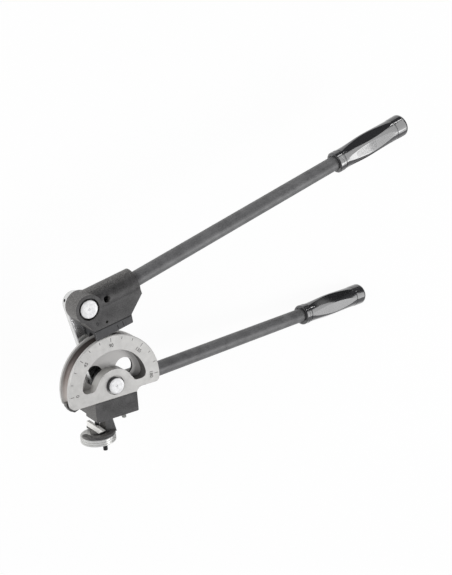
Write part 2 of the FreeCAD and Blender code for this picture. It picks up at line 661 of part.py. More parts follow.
def clamp_bracket():
    """An arm down from the lug that curls round the clamp screw, open to the back left."""
    top = BRACKET_TOP_Y
    foot = bracket_foot()
    plate = rod(0, 0, foot, top, BRACKET_R)
    band = BRACKET_R - BRACKET_BAND
    plate = plate.cut(sector(BRACKET_HUB_R, band, BRACKET_SLOT_FROM_DEG, BRACKET_SLOT_TO_DEG, foot - 1, top + 1))
    mouth = sector(BRACKET_HUB_R, BRACKET_R + 1, BRACKET_SLOT_FROM_DEG, BRACKET_MOUTH_TO_DEG, foot - 1, top + 1)
    plate = plate.cut(mouth)
    arm = slab(((ARM_INNER_X, LUG_BOTTOM_Y), (ARM_INNER_X, foot), (BRACKET_R, foot), (ARM_OUTER_X, LUG_BOTTOM_Y)),
               -ARM_HALF_DEPTH, ARM_HALF_DEPTH)
    arm.rotate(FreeCAD.Vector(0, 0, 0), FreeCAD.Vector(1, 0, 0), 90)
    body = plate.fuse(arm).removeSplitter()
    body = on_clamp(body.cut(rod(0, 0, foot - 1, top + 1, SCREW_R + FACE_GAP)))
    body = body.cut(rod_along_y(-FIXING_X, BEND_Z, foot - 1, LUG_BOTTOM_Y + 1, FIXING_R + PRESS_GAP))
    return body.cut(rod_along_y(-FIXING_X, BEND_Z, foot - 1, foot + BRACKET_HEAD_T, BRACKET_HEAD_R + PRESS_GAP))


def knob_top():
    return bracket_foot() - FACE_GAP - KNOB_COLLAR_T


def clamp_knob():
    """The knob: a disc with two grooves round its rim and a thrust collar on top."""
    top = knob_top()
    foot = top - KNOB_T
    disc = rod(0, 0, foot, top, KNOB_R)
    disc = disc.makeChamfer(KNOB_EDGE_BREAK, edges_at_height(disc, foot) + edges_at_height(disc, top))
    for share in (1, 2):
        mid = foot + KNOB_T * share / 3
        hollow = [(KNOB_R + 1, mid - KNOB_GROOVE_HALF * 2), (KNOB_R + 1, mid + KNOB_GROOVE_HALF * 2),
                  (KNOB_R - KNOB_GROOVE_DEPTH, mid + KNOB_GROOVE_HALF / 2), (KNOB_R - KNOB_GROOVE_DEPTH, mid - KNOB_GROOVE_HALF / 2)]
        corners = [FreeCAD.Vector(r, 0, z) for r, z in hollow]
        section = Part.Face(Part.makePolygon(corners + corners[:1]))
        disc = disc.cut(section.revolve(FreeCAD.Vector(0, 0, 0), FreeCAD.Vector(0, 0, 1), 360))
    body = disc.fuse(rod(0, 0, top, top + KNOB_COLLAR_T, KNOB_COLLAR_R)).removeSplitter()
    body = body.cut(rod(0, 0, foot + KNOB_T / 3, top + KNOB_COLLAR_T + 1, SCREW_R + PRESS_GAP))
    return on_clamp(body.cut(rod(PEG_X, PEG_Y, foot - 1, foot + PEG_SEAT, PEG_R + PRESS_GAP)))


def knob_peg():
    foot = knob_top() - KNOB_T
    return on_clamp(pin(PEG_X, PEG_Y, foot - PEG_LENGTH, foot + PEG_SEAT, PEG_R, FACE_GAP))


def clamp_screw():
    foot = knob_top() - KNOB_T * 2 / 3
    return on_clamp(pin(0, 0, foot, LUG_BOTTOM_Y - RUN_GAP * 10, SCREW_R, FACE_GAP))


def clamp_jaw():
    """The jaw bar that rides on the clamp screw, rounded at its front end."""
    foot = BRACKET_TOP_Y + FACE_GAP
    half = JAW_WIDTH / 2
    nose = rod(0, JAW_FRONT_Y + half, foot, foot + JAW_HEIGHT, half)
    bar = block(-half, half, JAW_FRONT_Y + half, JAW_REAR_Y, foot, foot + JAW_HEIGHT)
    body = nose.fuse(bar).removeSplitter()
    return on_clamp(body.cut(rod(0, 0, foot - 1, foot + JAW_HEIGHT + 1, SCREW_R + RUN_GAP)))


NODES = {
    "frame_casting": frame_casting,
    "bend_former": bend_former,
    "former_screw": former_screw,
    "bracket_screw": bracket_screw,
    "pivot_pin": pivot_pin,
    "pivot_spacer": pivot_spacer,
    "pivot_grub_screw": lambda: pivot_grub(0),
    "lower_handle_tube": lower_handle_tube,
    "lower_roll_pin": lower_roll_pin,
    "lower_grip": lower_grip,
    "clamp_bracket": clamp_bracket,
    "link_plate": link_plate,
    "link_bush": link_bush,
    "link_grub_screw": lambda: link_grub(0),
    "lever_pin": lever_pin,
    "lever_casting": lever_casting,
    "lever_bush": lever_bush,
    "bending_shoe": bending_shoe,
    "shoe_pin": lambda: shoe_pin(0, 0),
    "upper_handle_tube": upper_handle_tube,
    "upper_roll_pin": upper_roll_pin,
    "upper_grip": upper_grip,
    "clamp_knob": clamp_knob,
    "clamp_screw": clamp_screw,
    "knob_peg": knob_peg,
    "clamp_jaw": clamp_jaw,
}

os.makedirs("parts", exist_ok=True)
for name, make in NODES.items():
    solid = make()
    solid.exportStep("parts/" + name + ".step")
    print(name, len(solid.Solids), solid.isValid(), round(solid.Volume))
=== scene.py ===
import math

import bpy
from mathutils import Matrix, Vector


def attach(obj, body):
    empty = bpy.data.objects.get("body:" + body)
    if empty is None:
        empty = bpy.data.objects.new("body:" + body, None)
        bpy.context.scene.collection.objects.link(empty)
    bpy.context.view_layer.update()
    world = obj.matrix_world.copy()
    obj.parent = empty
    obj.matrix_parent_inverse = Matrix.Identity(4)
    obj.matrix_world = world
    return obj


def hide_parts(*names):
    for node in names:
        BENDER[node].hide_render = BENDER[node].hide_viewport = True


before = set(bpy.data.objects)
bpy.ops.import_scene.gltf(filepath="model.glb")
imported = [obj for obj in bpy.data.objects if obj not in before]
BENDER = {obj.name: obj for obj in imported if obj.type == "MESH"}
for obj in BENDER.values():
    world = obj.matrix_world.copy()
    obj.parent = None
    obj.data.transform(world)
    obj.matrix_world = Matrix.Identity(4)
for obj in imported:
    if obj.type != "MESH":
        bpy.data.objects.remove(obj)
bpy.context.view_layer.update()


# The camera stands where the photograph's did: in front of the engraved face, up and to the left of it.
# Its place and turn were worked out from the circles and pins of the former and from both handles.
CAMERA_PLACE = Vector((-0.6233, 0.5439, 1.2659))
CAMERA_RIGHT = Vector((0.82215, -0.06551, 0.5655))
CAMERA_UP = Vector((0.22486, 0.94995, -0.21687))
CAMERA_BACK = Vector((-0.52299, 0.30545, 0.79573))
CAMERA_LENS_MM = 76.33
CAMERA_SENSOR_MM = 36.0
CAMERA_REACH = 20.0

bpy.ops.object.camera_add()
camera = bpy.context.object
camera.name = "bench_camera"
camera_turn = Matrix((CAMERA_RIGHT, CAMERA_UP, CAMERA_BACK)).transposed().to_4x4()
camera.matrix_world = Matrix.Translation(CAMERA_PLACE) @ camera_turn
camera.data.sensor_width = CAMERA_SENSOR_MM
camera.data.lens = CAMERA_LENS_MM
camera.data.clip_end = CAMERA_REACH
bpy.context.scene.camera = camera
bpy.context.scene.view_settings.view_transform = "Standard"


# The floor is a level sheet of white paper just under the lower grip, so that every pose stays above it. It
# ends a little beyond the tool, takes its soft shadow, and is clear from below. A black band on its right
# shows only in gloss, where it darkens the upper flat of the lower grip.
PAPER_HALF = 0.62
PAPER_MIDDLE = Vector((0.2, 0.0, -0.0597))
PAPER_PALE = (0.92, 0.92, 0.92, 1.0)
PAPER_GLOW_SHARE = 0.95
WHITE = (1.0, 1.0, 1.0, 1.0)
BAND_BLACK = (0.02, 0.02, 0.02, 1.0)
BAND_FADE_X = (0.33, 0.38)
BAND_STOPS_Y = ((0.03, 0.0), (0.07, 1.0), (0.22, 1.0), (0.25, 0.0), (0.99, 0.0))


def added(operator, name, **values):
    """Adds a primitive or a text with nothing else selected, and names it."""
    bpy.ops.object.select_all(action="DESELECT")
    operator(**values)
    piece = bpy.context.object
    piece.name = name
    return piece


def shader_node(tree, kind, operation=None):
    """A new node, with its operation where it has one."""
    node = tree.nodes.new(kind)
    if operation:
        node.operation = operation
    return node


def faded(tree, fade):
    """A node that rises from nothing at the fade's first value to full at its last."""
    node = shader_node(tree, "ShaderNodeMapRange")
    node.inputs["From Min"].default_value = fade[0]
    node.inputs["From Max"].default_value = fade[1]
    return node


def wired(tree, *rows):
    """Links nodes: each row names a node and its output, then a node and its input."""
    for source, output, target, socket in rows:
        tree.links.new(source.outputs[output], target.inputs[socket])


paper = added(bpy.ops.mesh.primitive_plane_add, "paper_floor", size=2 * PAPER_HALF, location=PAPER_MIDDLE)
paper_white = bpy.data.materials.new("paper_white")
paper_white.use_nodes = True
paper_tree = paper_white.node_tree
paper_tree.nodes.clear()
paper_out = shader_node(paper_tree, "ShaderNodeOutputMaterial")
paper_glow = shader_node(paper_tree, "ShaderNodeEmission")
paper_glow.inputs["Color"].default_value = WHITE
paper_matt = shader_node(paper_tree, "ShaderNodeBsdfDiffuse")
paper_matt.inputs["Color"].default_value = PAPER_PALE
paper_clear = shader_node(paper_tree, "ShaderNodeBsdfTransparent")
paper_mix = shader_node(paper_tree, "ShaderNodeMixShader")
paper_mix.inputs["Fac"].default_value = PAPER_GLOW_SHARE
paper_side = shader_node(paper_tree, "ShaderNodeMixShader")
paper_face = shader_node(paper_tree, "ShaderNodeNewGeometry")
paper_ray = shader_node(paper_tree, "ShaderNodeLightPath")
paper_banded = shader_node(paper_tree, "ShaderNodeMixShader")
band_black = shader_node(paper_tree, "ShaderNodeBsdfDiffuse")
band_black.inputs["Color"].default_value = BAND_BLACK
band_axes = shader_node(paper_tree, "ShaderNodeSeparateXYZ")
band_right = faded(paper_tree, BAND_FADE_X)
band_across = shader_node(paper_tree, "ShaderNodeValToRGB")
for stop, shade in BAND_STOPS_Y:
    band_across.color_ramp.elements.new(stop).color = (shade, shade, shade, 1.0)
band_both = shader_node(paper_tree, "ShaderNodeMath", "MULTIPLY")
band_seen = shader_node(paper_tree, "ShaderNodeMath", "MULTIPLY")
wired(
    paper_tree,
    (paper_matt, "BSDF", paper_mix, 1),
    (paper_glow, "Emission", paper_mix, 2),
    (paper_face, "Position", band_axes, "Vector"),
    (band_axes, "X", band_right, "Value"),
    (band_axes, "Y", band_across, "Fac"),
    (band_right, "Result", band_both, 0),
    (band_across, "Color", band_both, 1),
    (band_both, "Value", band_seen, 0),
    (paper_ray, "Is Glossy Ray", band_seen, 1),
    (band_seen, "Value", paper_banded, "Fac"),
    (paper_mix, "Shader", paper_banded, 1),
    (band_black, "BSDF", paper_banded, 2),
    (paper_face, "Backfacing", paper_side, "Fac"),
    (paper_banded, "Shader", paper_side, 1),
    (paper_clear, "BSDF", paper_side, 2),
    (paper_side, "Shader", paper_out, "Surface"),
)
paper.data.materials.append(paper_white)


# Studio light: a big soft lamp low on the right that the flat faces mirror, a fill on the left, a thin strip
# above, and a card that only the grips take. The room is white to the camera. To all else it is pale below
# and darker above, so that gloss keeps its contrast.
ROOM_LOW = (0.62, 0.62, 0.635, 1.0)
ROOM_HIGH = (0.12, 0.12, 0.13, 1.0)
ROOM_STOPS = (0.05, 0.62)
ROOM_DARK_SIDE = Vector((0.12, 0.93, 0.34))
AIM = Vector((0.15, 0.07, 0.03))
LAMPS = (  # name, place, width, length and power
    ("right_softbox", Vector((0.97, -0.36, 1.13)), 0.66, 0.78, 8.5),
    ("left_fill", Vector((-1.25, 0.45, 0.75)), 0.9, 0.9, 13.0),
    ("upper_strip", Vector((0.75, 1.15, 0.35)), 0.05, 1.2, 3.0),
    ("grip_card", Vector((1.03, 0.365, 0.99)), 0.9, 2.2, 19.0),
)


def two_tone(ramp, stops, low, high):
    """Sets a ramp's two stops and their colours."""
    first, last = ramp.color_ramp.elements
    first.position = stops[0]
    first.color = low
    last.position = stops[1]
    last.color = high


room = bpy.data.worlds.new("studio_room")
room.use_nodes = True
bpy.context.scene.world = room
room_tree = room.node_tree
room_tree.nodes.clear()
room_out = shader_node(room_tree, "ShaderNodeOutputWorld")
room_place = shader_node(room_tree, "ShaderNodeTexCoord")
room_height = shader_node(room_tree, "ShaderNodeVectorMath", "DOT_PRODUCT")
room_height.inputs[1].default_value = ROOM_DARK_SIDE
room_tone = shader_node(room_tree, "ShaderNodeValToRGB")
two_tone(room_tone, ROOM_STOPS, ROOM_LOW, ROOM_HIGH)
room_grey = shader_node(room_tree, "ShaderNodeBackground")
room_white = shader_node(room_tree, "ShaderNodeBackground")
room_white.inputs["Color"].default_value = WHITE
room_ray = shader_node(room_tree, "ShaderNodeLightPath")
room_mix = shader_node(room_tree, "ShaderNodeMixShader")
wired(
    room_tree,
    (room_place, "Generated", room_height, 0),
    (room_height, "Value", room_tone, "Fac"),
    (room_tone, "Color", room_grey, "Color"),
    (room_ray, "Is Camera Ray", room_mix, "Fac"),
    (room_grey, "Background", room_mix, 1),
    (room_white, "Background", room_mix, 2),
    (room_mix, "Shader", room_out, "Surface"),
)
for lamp_name, lamp_place, lamp_width, lamp_length, lamp_power in LAMPS:
    bpy.ops.object.light_add(type="AREA", location=lamp_place)
    lamp = bpy.context.object
    lamp.name = lamp_name
    lamp.data.shape = "RECTANGLE"
    lamp.data.size = lamp_length
    lamp.data.size_y = lamp_width
    lamp.data.energy = lamp_power
    lamp.rotation_euler = (AIM - lamp_place).to_track_quat("-Z", "Y").to_euler()


# Frame casting: one dark grey casting that holds the former, the pivot boss, the vise lug, the
# tube-rest lip and the raked socket of the lower handle. It is sand cast, so its skin is finely
# pitted and its edges are soft. Its rounded edges are painted pale as a highlight, with some wear,
# and its side walls are painted lighter than its fronts, as lit.
MM = 0.001
CAST_DARK = (0.016, 0.0155, 0.0155, 1.0)
CAST_PALE = (0.092, 0.090, 0.090, 1.0)
# Painted light: the side walls of the castings are lighter than their fronts, as if lit.
LIT_WALL_DARK = (0.050, 0.048, 0.046, 1.0)
LIT_WALL_PALE = (0.21, 0.205, 0.198, 1.0)
# Painted highlight with some wear: the pale tone of the castings' rounded edges.
EDGE_HIGHLIGHT_DARK = (0.22, 0.22, 0.218, 1.0)
EDGE_HIGHLIGHT_PALE = (0.68, 0.68, 0.67, 1.0)
GRAIN_SIZE = 900.0
GRAIN_DETAIL = 3.0
GRAIN_ROUGHNESS = 0.6
FLOW_SIZE = 45.0
FLOW_DETAIL = 5.0
FLOW_ROUGHNESS = 0.55
FLOW_HEIGHT = 0.35
SKIN_STOPS = (0.34, 0.66)
SKIN_SHARE = 0.5
GRAIN_SPREAD = (0.3, 0.7)
BUMP_STRENGTH = 0.5


def noise(tree, detail, roughness):
    """A noise of the given detail."""
    node = shader_node(tree, "ShaderNodeTexNoise")
    node.inputs["Detail"].default_value = detail
    node.inputs["Roughness"].default_value = roughness
    return node


def cast_skin_group():
    """Pitted skin of a casting: a fine grain, broad flow marks and their height."""
    group = bpy.data.node_groups.new("cast_skin", "ShaderNodeTree")
    face = group.interface
    face.new_socket("Vector", in_out="INPUT", socket_type="NodeSocketVector")
    grain_size = face.new_socket("Grain", in_out="INPUT", socket_type="NodeSocketFloat")
    grain_size.default_value = GRAIN_SIZE
    flow_size = face.new_socket("Flow", in_out="INPUT", socket_type="NodeSocketFloat")
    flow_size.default_value = FLOW_SIZE
    for name in ("Grain", "Flow", "Height"):
        face.new_socket(name, in_out="OUTPUT", socket_type="NodeSocketFloat")
    start = shader_node(group, "NodeGroupInput")
    end = shader_node(group, "NodeGroupOutput")
    grain = noise(group, GRAIN_DETAIL, GRAIN_ROUGHNESS)
    flow = noise(group, FLOW_DETAIL, FLOW_ROUGHNESS)
    height = shader_node(group, "ShaderNodeMath", "MULTIPLY_ADD")
    height.inputs[1].default_value = FLOW_HEIGHT
    wired(
        group,
        (start, "Vector", grain, "Vector"),
        (start, "Grain", grain, "Scale"),
        (start, "Vector", flow, "Vector"),
        (start, "Flow", flow, "Scale"),
        (flow, "Fac", height, 0),
        (grain, "Fac", height, 2),
        (grain, "Fac", end, "Grain"),
        (flow, "Fac", end, "Flow"),
        (height, "Value", end, "Height"),
    )
    return group


CAST_SKIN = cast_skin_group()


def skinned(name, dark, pale, metallic, grain, flow, depth, rough):
    """A finish whose tone comes from the skin's flow and grain, with roughness and bump from its grain."""
    finish = bpy.data.materials.new(name)
    finish.use_nodes = True
    tree = finish.node_tree
    shader = tree.nodes["Principled BSDF"]
    shader.inputs["Metallic"].default_value = metallic
    place = shader_node(tree, "ShaderNodeTexCoord")
    skin = shader_node(tree, "ShaderNodeGroup")
    skin.name = "skin"
    skin.node_tree = CAST_SKIN
    skin.inputs["Grain"].default_value = grain
    skin.inputs["Flow"].default_value = flow
    tone = shader_node(tree, "ShaderNodeValToRGB")
    tone.name = "tone"
    two_tone(tone, SKIN_STOPS, dark, pale)
    share = shader_node(tree, "ShaderNodeMath", "MULTIPLY")
    share.inputs[1].default_value = SKIN_SHARE
    blend = shader_node(tree, "ShaderNodeMath", "MULTIPLY_ADD")
    blend.inputs[1].default_value = SKIN_SHARE
    spread = faded(tree, GRAIN_SPREAD)
    spread.inputs["To Min"].default_value = rough[0]
    spread.inputs["To Max"].default_value = rough[1]
    bump = shader_node(tree, "ShaderNodeBump")
    bump.inputs["Strength"].default_value = BUMP_STRENGTH
    bump.inputs["Distance"].default_value = depth
    wired(
        tree,
        (place, "Object", skin, "Vector"),
        (skin, "Flow", share, 0),
        (skin, "Grain", blend, 0),
        (share, "Value", blend, 2),
        (blend, "Value", tone, "Fac"),
        (tone, "Color", shader, "Base Color"),
        (skin, "Grain", spread, "Value"),
        (spread, "Result", shader, "Roughness"),
        (skin, "Height", bump, "Height"),
        (bump, "Normal", shader, "Normal"),
    )
    return finish


def pick(piece):
    """Selects one piece alone, ready for an operator."""
    bpy.ops.object.select_all(action="DESELECT")
    piece.select_set(True)
    bpy.context.view_layer.objects.active = piece


def seat(piece, place, body, slot_name, *nodes):
    """Puts the place into the mesh, ties the piece to its body and hides the nodes it stands for. Its slot
    name is not used.
    """
    piece.data.transform(place @ piece.matrix_world)
    piece.matrix_world = Matrix.Identity(4)
    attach(piece, body)
    if nodes:
        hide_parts(*nodes)


MERGE_WITHIN = 0.01
FLAT_WITHIN_DEG = 0.6


def edit_all():
    """Opens the piece for editing, with all of it selected."""
    bpy.ops.object.mode_set(mode="EDIT")
    bpy.ops.mesh.select_all(action="SELECT")


def faced_out():
    """Turns the piece's faces outward and ends its editing."""
    bpy.ops.mesh.select_all(action="SELECT")
    bpy.ops.mesh.normals_make_consistent(inside=False)
    bpy.ops.object.mode_set(mode="OBJECT")


def copied(node):
    """A merged copy of a CAD node, free to be shaped."""
    piece = bpy.data.objects.new(node + "_soft", BENDER[node].data.copy())
    bpy.context.scene.collection.objects.link(piece)
    pick(piece)
    bpy.ops.mesh.customdata_custom_splitnormals_clear()
    edit_all()
    bpy.ops.mesh.remove_doubles(threshold=MERGE_WITHIN * MM)
    bpy.ops.mesh.dissolve_limited(angle_limit=math.radians(FLAT_WITHIN_DEG))
    bpy.ops.object.mode_set(mode="OBJECT")
    return piece


def prism(name, outline, low, high):
    """A slab of the outline's shape: a disc with one corner to a point, drawn up."""
    corners = len(outline)
    piece = added(bpy.ops.mesh.primitive_circle_add, name, vertices=corners, radius=1.0, fill_type="NGON")
    for corner, (x, y) in zip(piece.data.vertices, outline):
        corner.co = (x * MM, y * MM, low * MM)
    edit_all()
    bpy.ops.mesh.extrude_region_move(TRANSFORM_OT_translate={"value": (0.0, 0.0, (high - low) * MM)})
    faced_out()
    return piece


def oblong(xs, ys):
    """The outline of a rectangle between two values of x and two of y."""
    return ((xs[0], ys[0]), (xs[1], ys[0]), (xs[1], ys[1]), (xs[0], ys[1]))


def moved(piece, place):
    """Puts a place into a piece's mesh."""
    piece.data.transform(place)
    return piece


def combined(piece, other, operation):
    """Welds the other piece on, or cuts its shape away, and clears it up."""
    pick(piece)
    work = piece.modifiers.new("work", "BOOLEAN")
    work.operation = operation
    work.solver = "EXACT"
    work.object = other
    bpy.ops.object.modifier_apply(modifier="work")
    bpy.data.objects.remove(other)
    return piece


def weld(piece, other):
    return combined(piece, other, "UNION")


def cut(piece, other):
    return combined(piece, other, "DIFFERENCE")


ROUNDING_STEPS = 2
ROUNDED_FROM_DEG = 34.0
SMOOTH_TO_DEG = 40.0


def softened(piece, width, body, slot_name, finish, edge_finish, *nodes):
    """Rounds a piece's sharp edges, gives the rounding the edge finish, and seats it in place of its nodes.
    """
    piece.data.materials.clear()
    piece.data.materials.append(finish)
    piece.data.materials.append(edge_finish)
    for polygon in piece.data.polygons:
        polygon.material_index = 0
    pick(piece)
    rounding = piece.modifiers.new("rounding", "BEVEL")
    rounding.width = width
    rounding.segments = ROUNDING_STEPS
    rounding.limit_method = "ANGLE"
    rounding.angle_limit = math.radians(ROUNDED_FROM_DEG)
    rounding.use_clamp_overlap = True
    # The rounding takes the second finish; on the castings that is a painted highlight.
    rounding.material = 1
    bpy.ops.object.modifier_apply(modifier="rounding")
    bpy.ops.object.shade_smooth_by_angle(angle=math.radians(SMOOTH_TO_DEG))
    evening = piece.modifiers.new("evening", "WEIGHTED_NORMAL")
    evening.keep_sharp = True
    bpy.ops.object.modifier_apply(modifier="evening")
    seat(piece, Matrix.Identity(4), body, slot_name, *nodes)
    return piece


WALL_FADE = (0.85, 0.35)
LIT_WALL_STOPS = (0.36, 0.66)


def wall_mask(finish):
    """A mask that is full on walls, which face sideways, and nothing on fronts."""
    tree = finish.node_tree
    place = shader_node(tree, "ShaderNodeTexCoord")
    axes = shader_node(tree, "ShaderNodeSeparateXYZ")
    facing = shader_node(tree, "ShaderNodeMath", "ABSOLUTE")
    wall = faded(tree, WALL_FADE)
    wired(
        tree,
        (place, "Normal", axes, "Vector"),
        (axes, "Z", facing, 0),
        (facing, "Value", wall, "Value"),
    )
    return wall


def walled(finish, dark, pale):
    """Paints the side walls of a casting lighter, as lit, from its grain, and leaves the fronts as they are.
    """
    tree = finish.node_tree
    wall = wall_mask(finish)
    lit_wall = shader_node(tree, "ShaderNodeValToRGB")
    two_tone(lit_wall, LIT_WALL_STOPS, dark, pale)
    layer = shader_node(tree, "ShaderNodeMix")
    layer.data_type = "RGBA"
    wired(
        tree,
        (tree.nodes["skin"], "Grain", lit_wall, "Fac"),
        (wall, "Result", layer, "Factor"),
        (tree.nodes["tone"], "Color", layer, "A"),
        (lit_wall, "Color", layer, "B"),
        (layer, "Result", tree.nodes["Principled BSDF"], "Base Color"),
    )
    return finish


LUG_LEFT_X = -28.98
BESIDE_LUG = oblong((-80.0, LUG_LEFT_X), (-60.0, 10.0))
BESIDE_LUG_REAR = 30.0
BESIDE_LUG_FRONT = 70.0
LIP_OUTLINE = (
    (-61.3, -8.8), (-61.5, -13.5), (-58.2, -19.2), (-52.2, -22.6), (-46.0, -20.4), (-28.0, -20.4),
    (-28.0, -17.1), (-54.4, -17.1), (-55.6, -13.0), (-56.3, -8.8),
)
LIP_FRONT = 55.5
LIP_REAR = 48.5
FRAME_EDGE = 0.7

dark_cast = skinned(
    "dark_cast", CAST_DARK, CAST_PALE, metallic=0.3, grain=720.0, flow=60.0,
    depth=0.25 * MM, rough=(0.42, 0.6),
)
# Painted light: this casting's side walls are drawn lighter than its fronts.
walled(dark_cast, LIT_WALL_DARK, LIT_WALL_PALE)
# The castings' rounded edges take this pale tone: painted highlight, with some wear.
highlit_worn_cast = skinned(
    "highlit_worn_cast", EDGE_HIGHLIGHT_DARK, EDGE_HIGHLIGHT_PALE, metallic=0.25, grain=700.0, flow=110.0,
    depth=0.1 * MM, rough=(0.35, 0.5),
)
frame_body = copied("frame_casting")
cut(frame_body, prism("beside_lug", BESIDE_LUG, BESIDE_LUG_REAR, BESIDE_LUG_FRONT))
weld(frame_body, prism("tube_rest_lip", LIP_OUTLINE, LIP_REAR, LIP_FRONT))
softened(frame_body, FRAME_EDGE * MM, "frame", "dark_casting", dark_cast, highlit_worn_cast, "frame_casting")


# Former: light grey metal, cast, with a turned face and groove and a cast pocket. The groove is painted a
# brownish dark as shade, darkest at the top, and its two rims are bright. The pocket's inner walls are
# painted lit on the left and shaded on the right, and the back of the web is painted black as shade. The
# former's screws come up from the lug.
FORMER_DARK = (0.44, 0.435, 0.42, 1.0)
FORMER_PALE = (0.58, 0.572, 0.555, 1.0)
POCKET_TONE = (0.44, 0.432, 0.42, 1.0)
# Painted light and shade on the pocket's inner walls: lighter on the left, dark on the right.
POCKET_WALL_LIT = (0.52, 0.51, 0.49, 1.0)
POCKET_WALL_SHADED = (0.095, 0.091, 0.088, 1.0)
# Black painted shade on the back of the web and in the hollow behind it.
BEHIND_WEB_SHADE = (0.02, 0.02, 0.02, 1.0)
RIM_DARK = (0.60, 0.60, 0.59, 1.0)
RIM_PALE = (0.85, 0.85, 0.84, 1.0)
# Painted shade in the groove, brownish, from light at the bottom to darkest at the top.
GROOVE_SHADE_TONES = (
    (0.00, (0.60, 0.58, 0.56, 1.0)),
    (0.25, (0.50, 0.46, 0.43, 1.0)),
    (0.50, (0.20, 0.165, 0.15, 1.0)),
    (0.75, (0.075, 0.060, 0.055, 1.0)),
    (1.00, (0.045, 0.038, 0.036, 1.0)),
)
BEND_Z = 52.0 * MM


# Where the groove's painted shade runs from light to dark, up the former.
GROOVE_SHADE_FADE_Y = (-20.0, 66.0)
GROOVE_FLOW_SHARE = 0.12
GROOVE_FADE_R = (50.5, 52.0)
GROOVE_FADE_Z = (8.2, 7.6)
INSIDE_FADE_R = (44.5, 43.8)
POCKET_FADE_R = (43.9, 43.4)
POCKET_FADE_Z = (63.8, 63.2)
POCKET_SHADE_X = (-20.0, 42.0)
BEHIND_SHADE_FADE_Z = (51.2, 50.6)


def former_finish():
    """The former's skin, with painted shade in the groove, on the pocket's walls and behind the web, and the
    pocket floor in its own tone.
    """
    finish = skinned(
        "former_metal", FORMER_DARK, FORMER_PALE, metallic=0.2, grain=1700.0, flow=110.0,
        depth=0.10 * MM, rough=(0.4, 0.55),
    )
    tree = finish.node_tree
    nodes = tree.nodes
    walls = wall_mask(finish)
    place = shader_node(tree, "ShaderNodeTexCoord")
    axes = shader_node(tree, "ShaderNodeSeparateXYZ")
    flat = shader_node(tree, "ShaderNodeVectorMath", "MULTIPLY")
    flat.inputs[1].default_value = (1.0, 1.0, 0.0)
    radius = shader_node(tree, "ShaderNodeVectorMath", "LENGTH")
    from_mid = shader_node(tree, "ShaderNodeMath", "SUBTRACT")
    from_mid.inputs[1].default_value = BEND_Z
    aside = shader_node(tree, "ShaderNodeMath", "ABSOLUTE")
    wired(
        tree,
        (place, "Object", axes, "Vector"),
        (place, "Object", flat, 0),
        (flat, "Vector", radius, 0),
        (axes, "Z", from_mid, 0),
        (from_mid, "Value", aside, 0),
    )

    def step(node, output, fade):
        ramp = faded(tree, (fade[0] * MM, fade[1] * MM))
        tree.links.new(node.outputs[output], ramp.inputs["Value"])
        return ramp.outputs["Result"]

    def times(a, b):
        product = shader_node(tree, "ShaderNodeMath", "MULTIPLY")
        tree.links.new(a, product.inputs[0])
        tree.links.new(b, product.inputs[1])
        return product.outputs["Value"]

    def over(under, colour_or_socket, mask):
        layer = shader_node(tree, "ShaderNodeMix")
        layer.data_type = "RGBA"
        tree.links.new(mask, layer.inputs["Factor"])
        tree.links.new(under, layer.inputs["A"])
        if isinstance(colour_or_socket, tuple):
            layer.inputs["B"].default_value = colour_or_socket
        else:
            tree.links.new(colour_or_socket, layer.inputs["B"])
        return layer.outputs["Result"]

    # Painted shade in the groove: darker towards the top, broken a little by the skin's flow.
    groove_shade = shader_node(tree, "ShaderNodeValToRGB")
    groove_shade.color_ramp.elements.remove(groove_shade.color_ramp.elements[1])
    groove_shade.color_ramp.elements[0].color = GROOVE_SHADE_TONES[0][1]
    for position, colour in GROOVE_SHADE_TONES[1:]:
        groove_shade.color_ramp.elements.new(position).color = colour
    groove_shade_fac = shader_node(tree, "ShaderNodeMath", "MULTIPLY_ADD")
    groove_shade_fac.inputs[1].default_value = GROOVE_FLOW_SHARE
    # The pocket's inner walls: painted lit on the left, fading to painted shade on the right.
    shade = shader_node(tree, "ShaderNodeValToRGB")
    two_tone(shade, (0.0, 1.0), POCKET_WALL_LIT, POCKET_WALL_SHADED)
    wired(tree, (nodes["skin"], "Flow", groove_shade_fac, 0), (groove_shade_fac, "Value", groove_shade, "Fac"))
    tree.links.new(step(axes, "Y", GROOVE_SHADE_FADE_Y), groove_shade_fac.inputs[2])
    tree.links.new(step(axes, "X", POCKET_SHADE_X), shade.inputs["Fac"])
    groove = times(step(radius, "Value", GROOVE_FADE_R), step(aside, "Value", GROOVE_FADE_Z))
    pocket = times(step(radius, "Value", POCKET_FADE_R), step(axes, "Z", POCKET_FADE_Z))
    inner = times(step(radius, "Value", INSIDE_FADE_R), walls.outputs["Result"])
    # Painted shade: all behind the web's front is drawn black.
    behind_shade = times(step(axes, "Z", BEHIND_SHADE_FADE_Z), step(radius, "Value", INSIDE_FADE_R))
    tone = over(nodes["tone"].outputs["Color"], POCKET_TONE, pocket)
    tone = over(tone, shade.outputs["Color"], inner)
    tone = over(tone, BEHIND_WEB_SHADE, behind_shade)
    tone = over(tone, groove_shade.outputs["Color"], groove)
    tree.links.new(tone, nodes["Principled BSDF"].inputs["Base Color"])
    return finish


WEB_REAR = 48.0
HOLLOW_REAR = 39.0
HOLLOW_R = 42.0
HOLLOW_HUB_R = 15.0
HOLLOW_FOOT = 1.0
HOLLOW_STEPS = 30
FORMER_EDGE = 0.3


def hollow_behind():
    """The cast hollow behind the former's web, round the hub."""
    angles = [math.pi * n / HOLLOW_STEPS for n in range(HOLLOW_STEPS + 1)]
    outer = [(HOLLOW_R * math.cos(a), HOLLOW_FOOT + HOLLOW_R * math.sin(a)) for a in angles]
    inner = [(-HOLLOW_HUB_R * math.cos(a), HOLLOW_FOOT + HOLLOW_HUB_R * math.sin(a)) for a in angles]
    return prism("hollow_behind", outer + inner, HOLLOW_REAR, WEB_REAR)


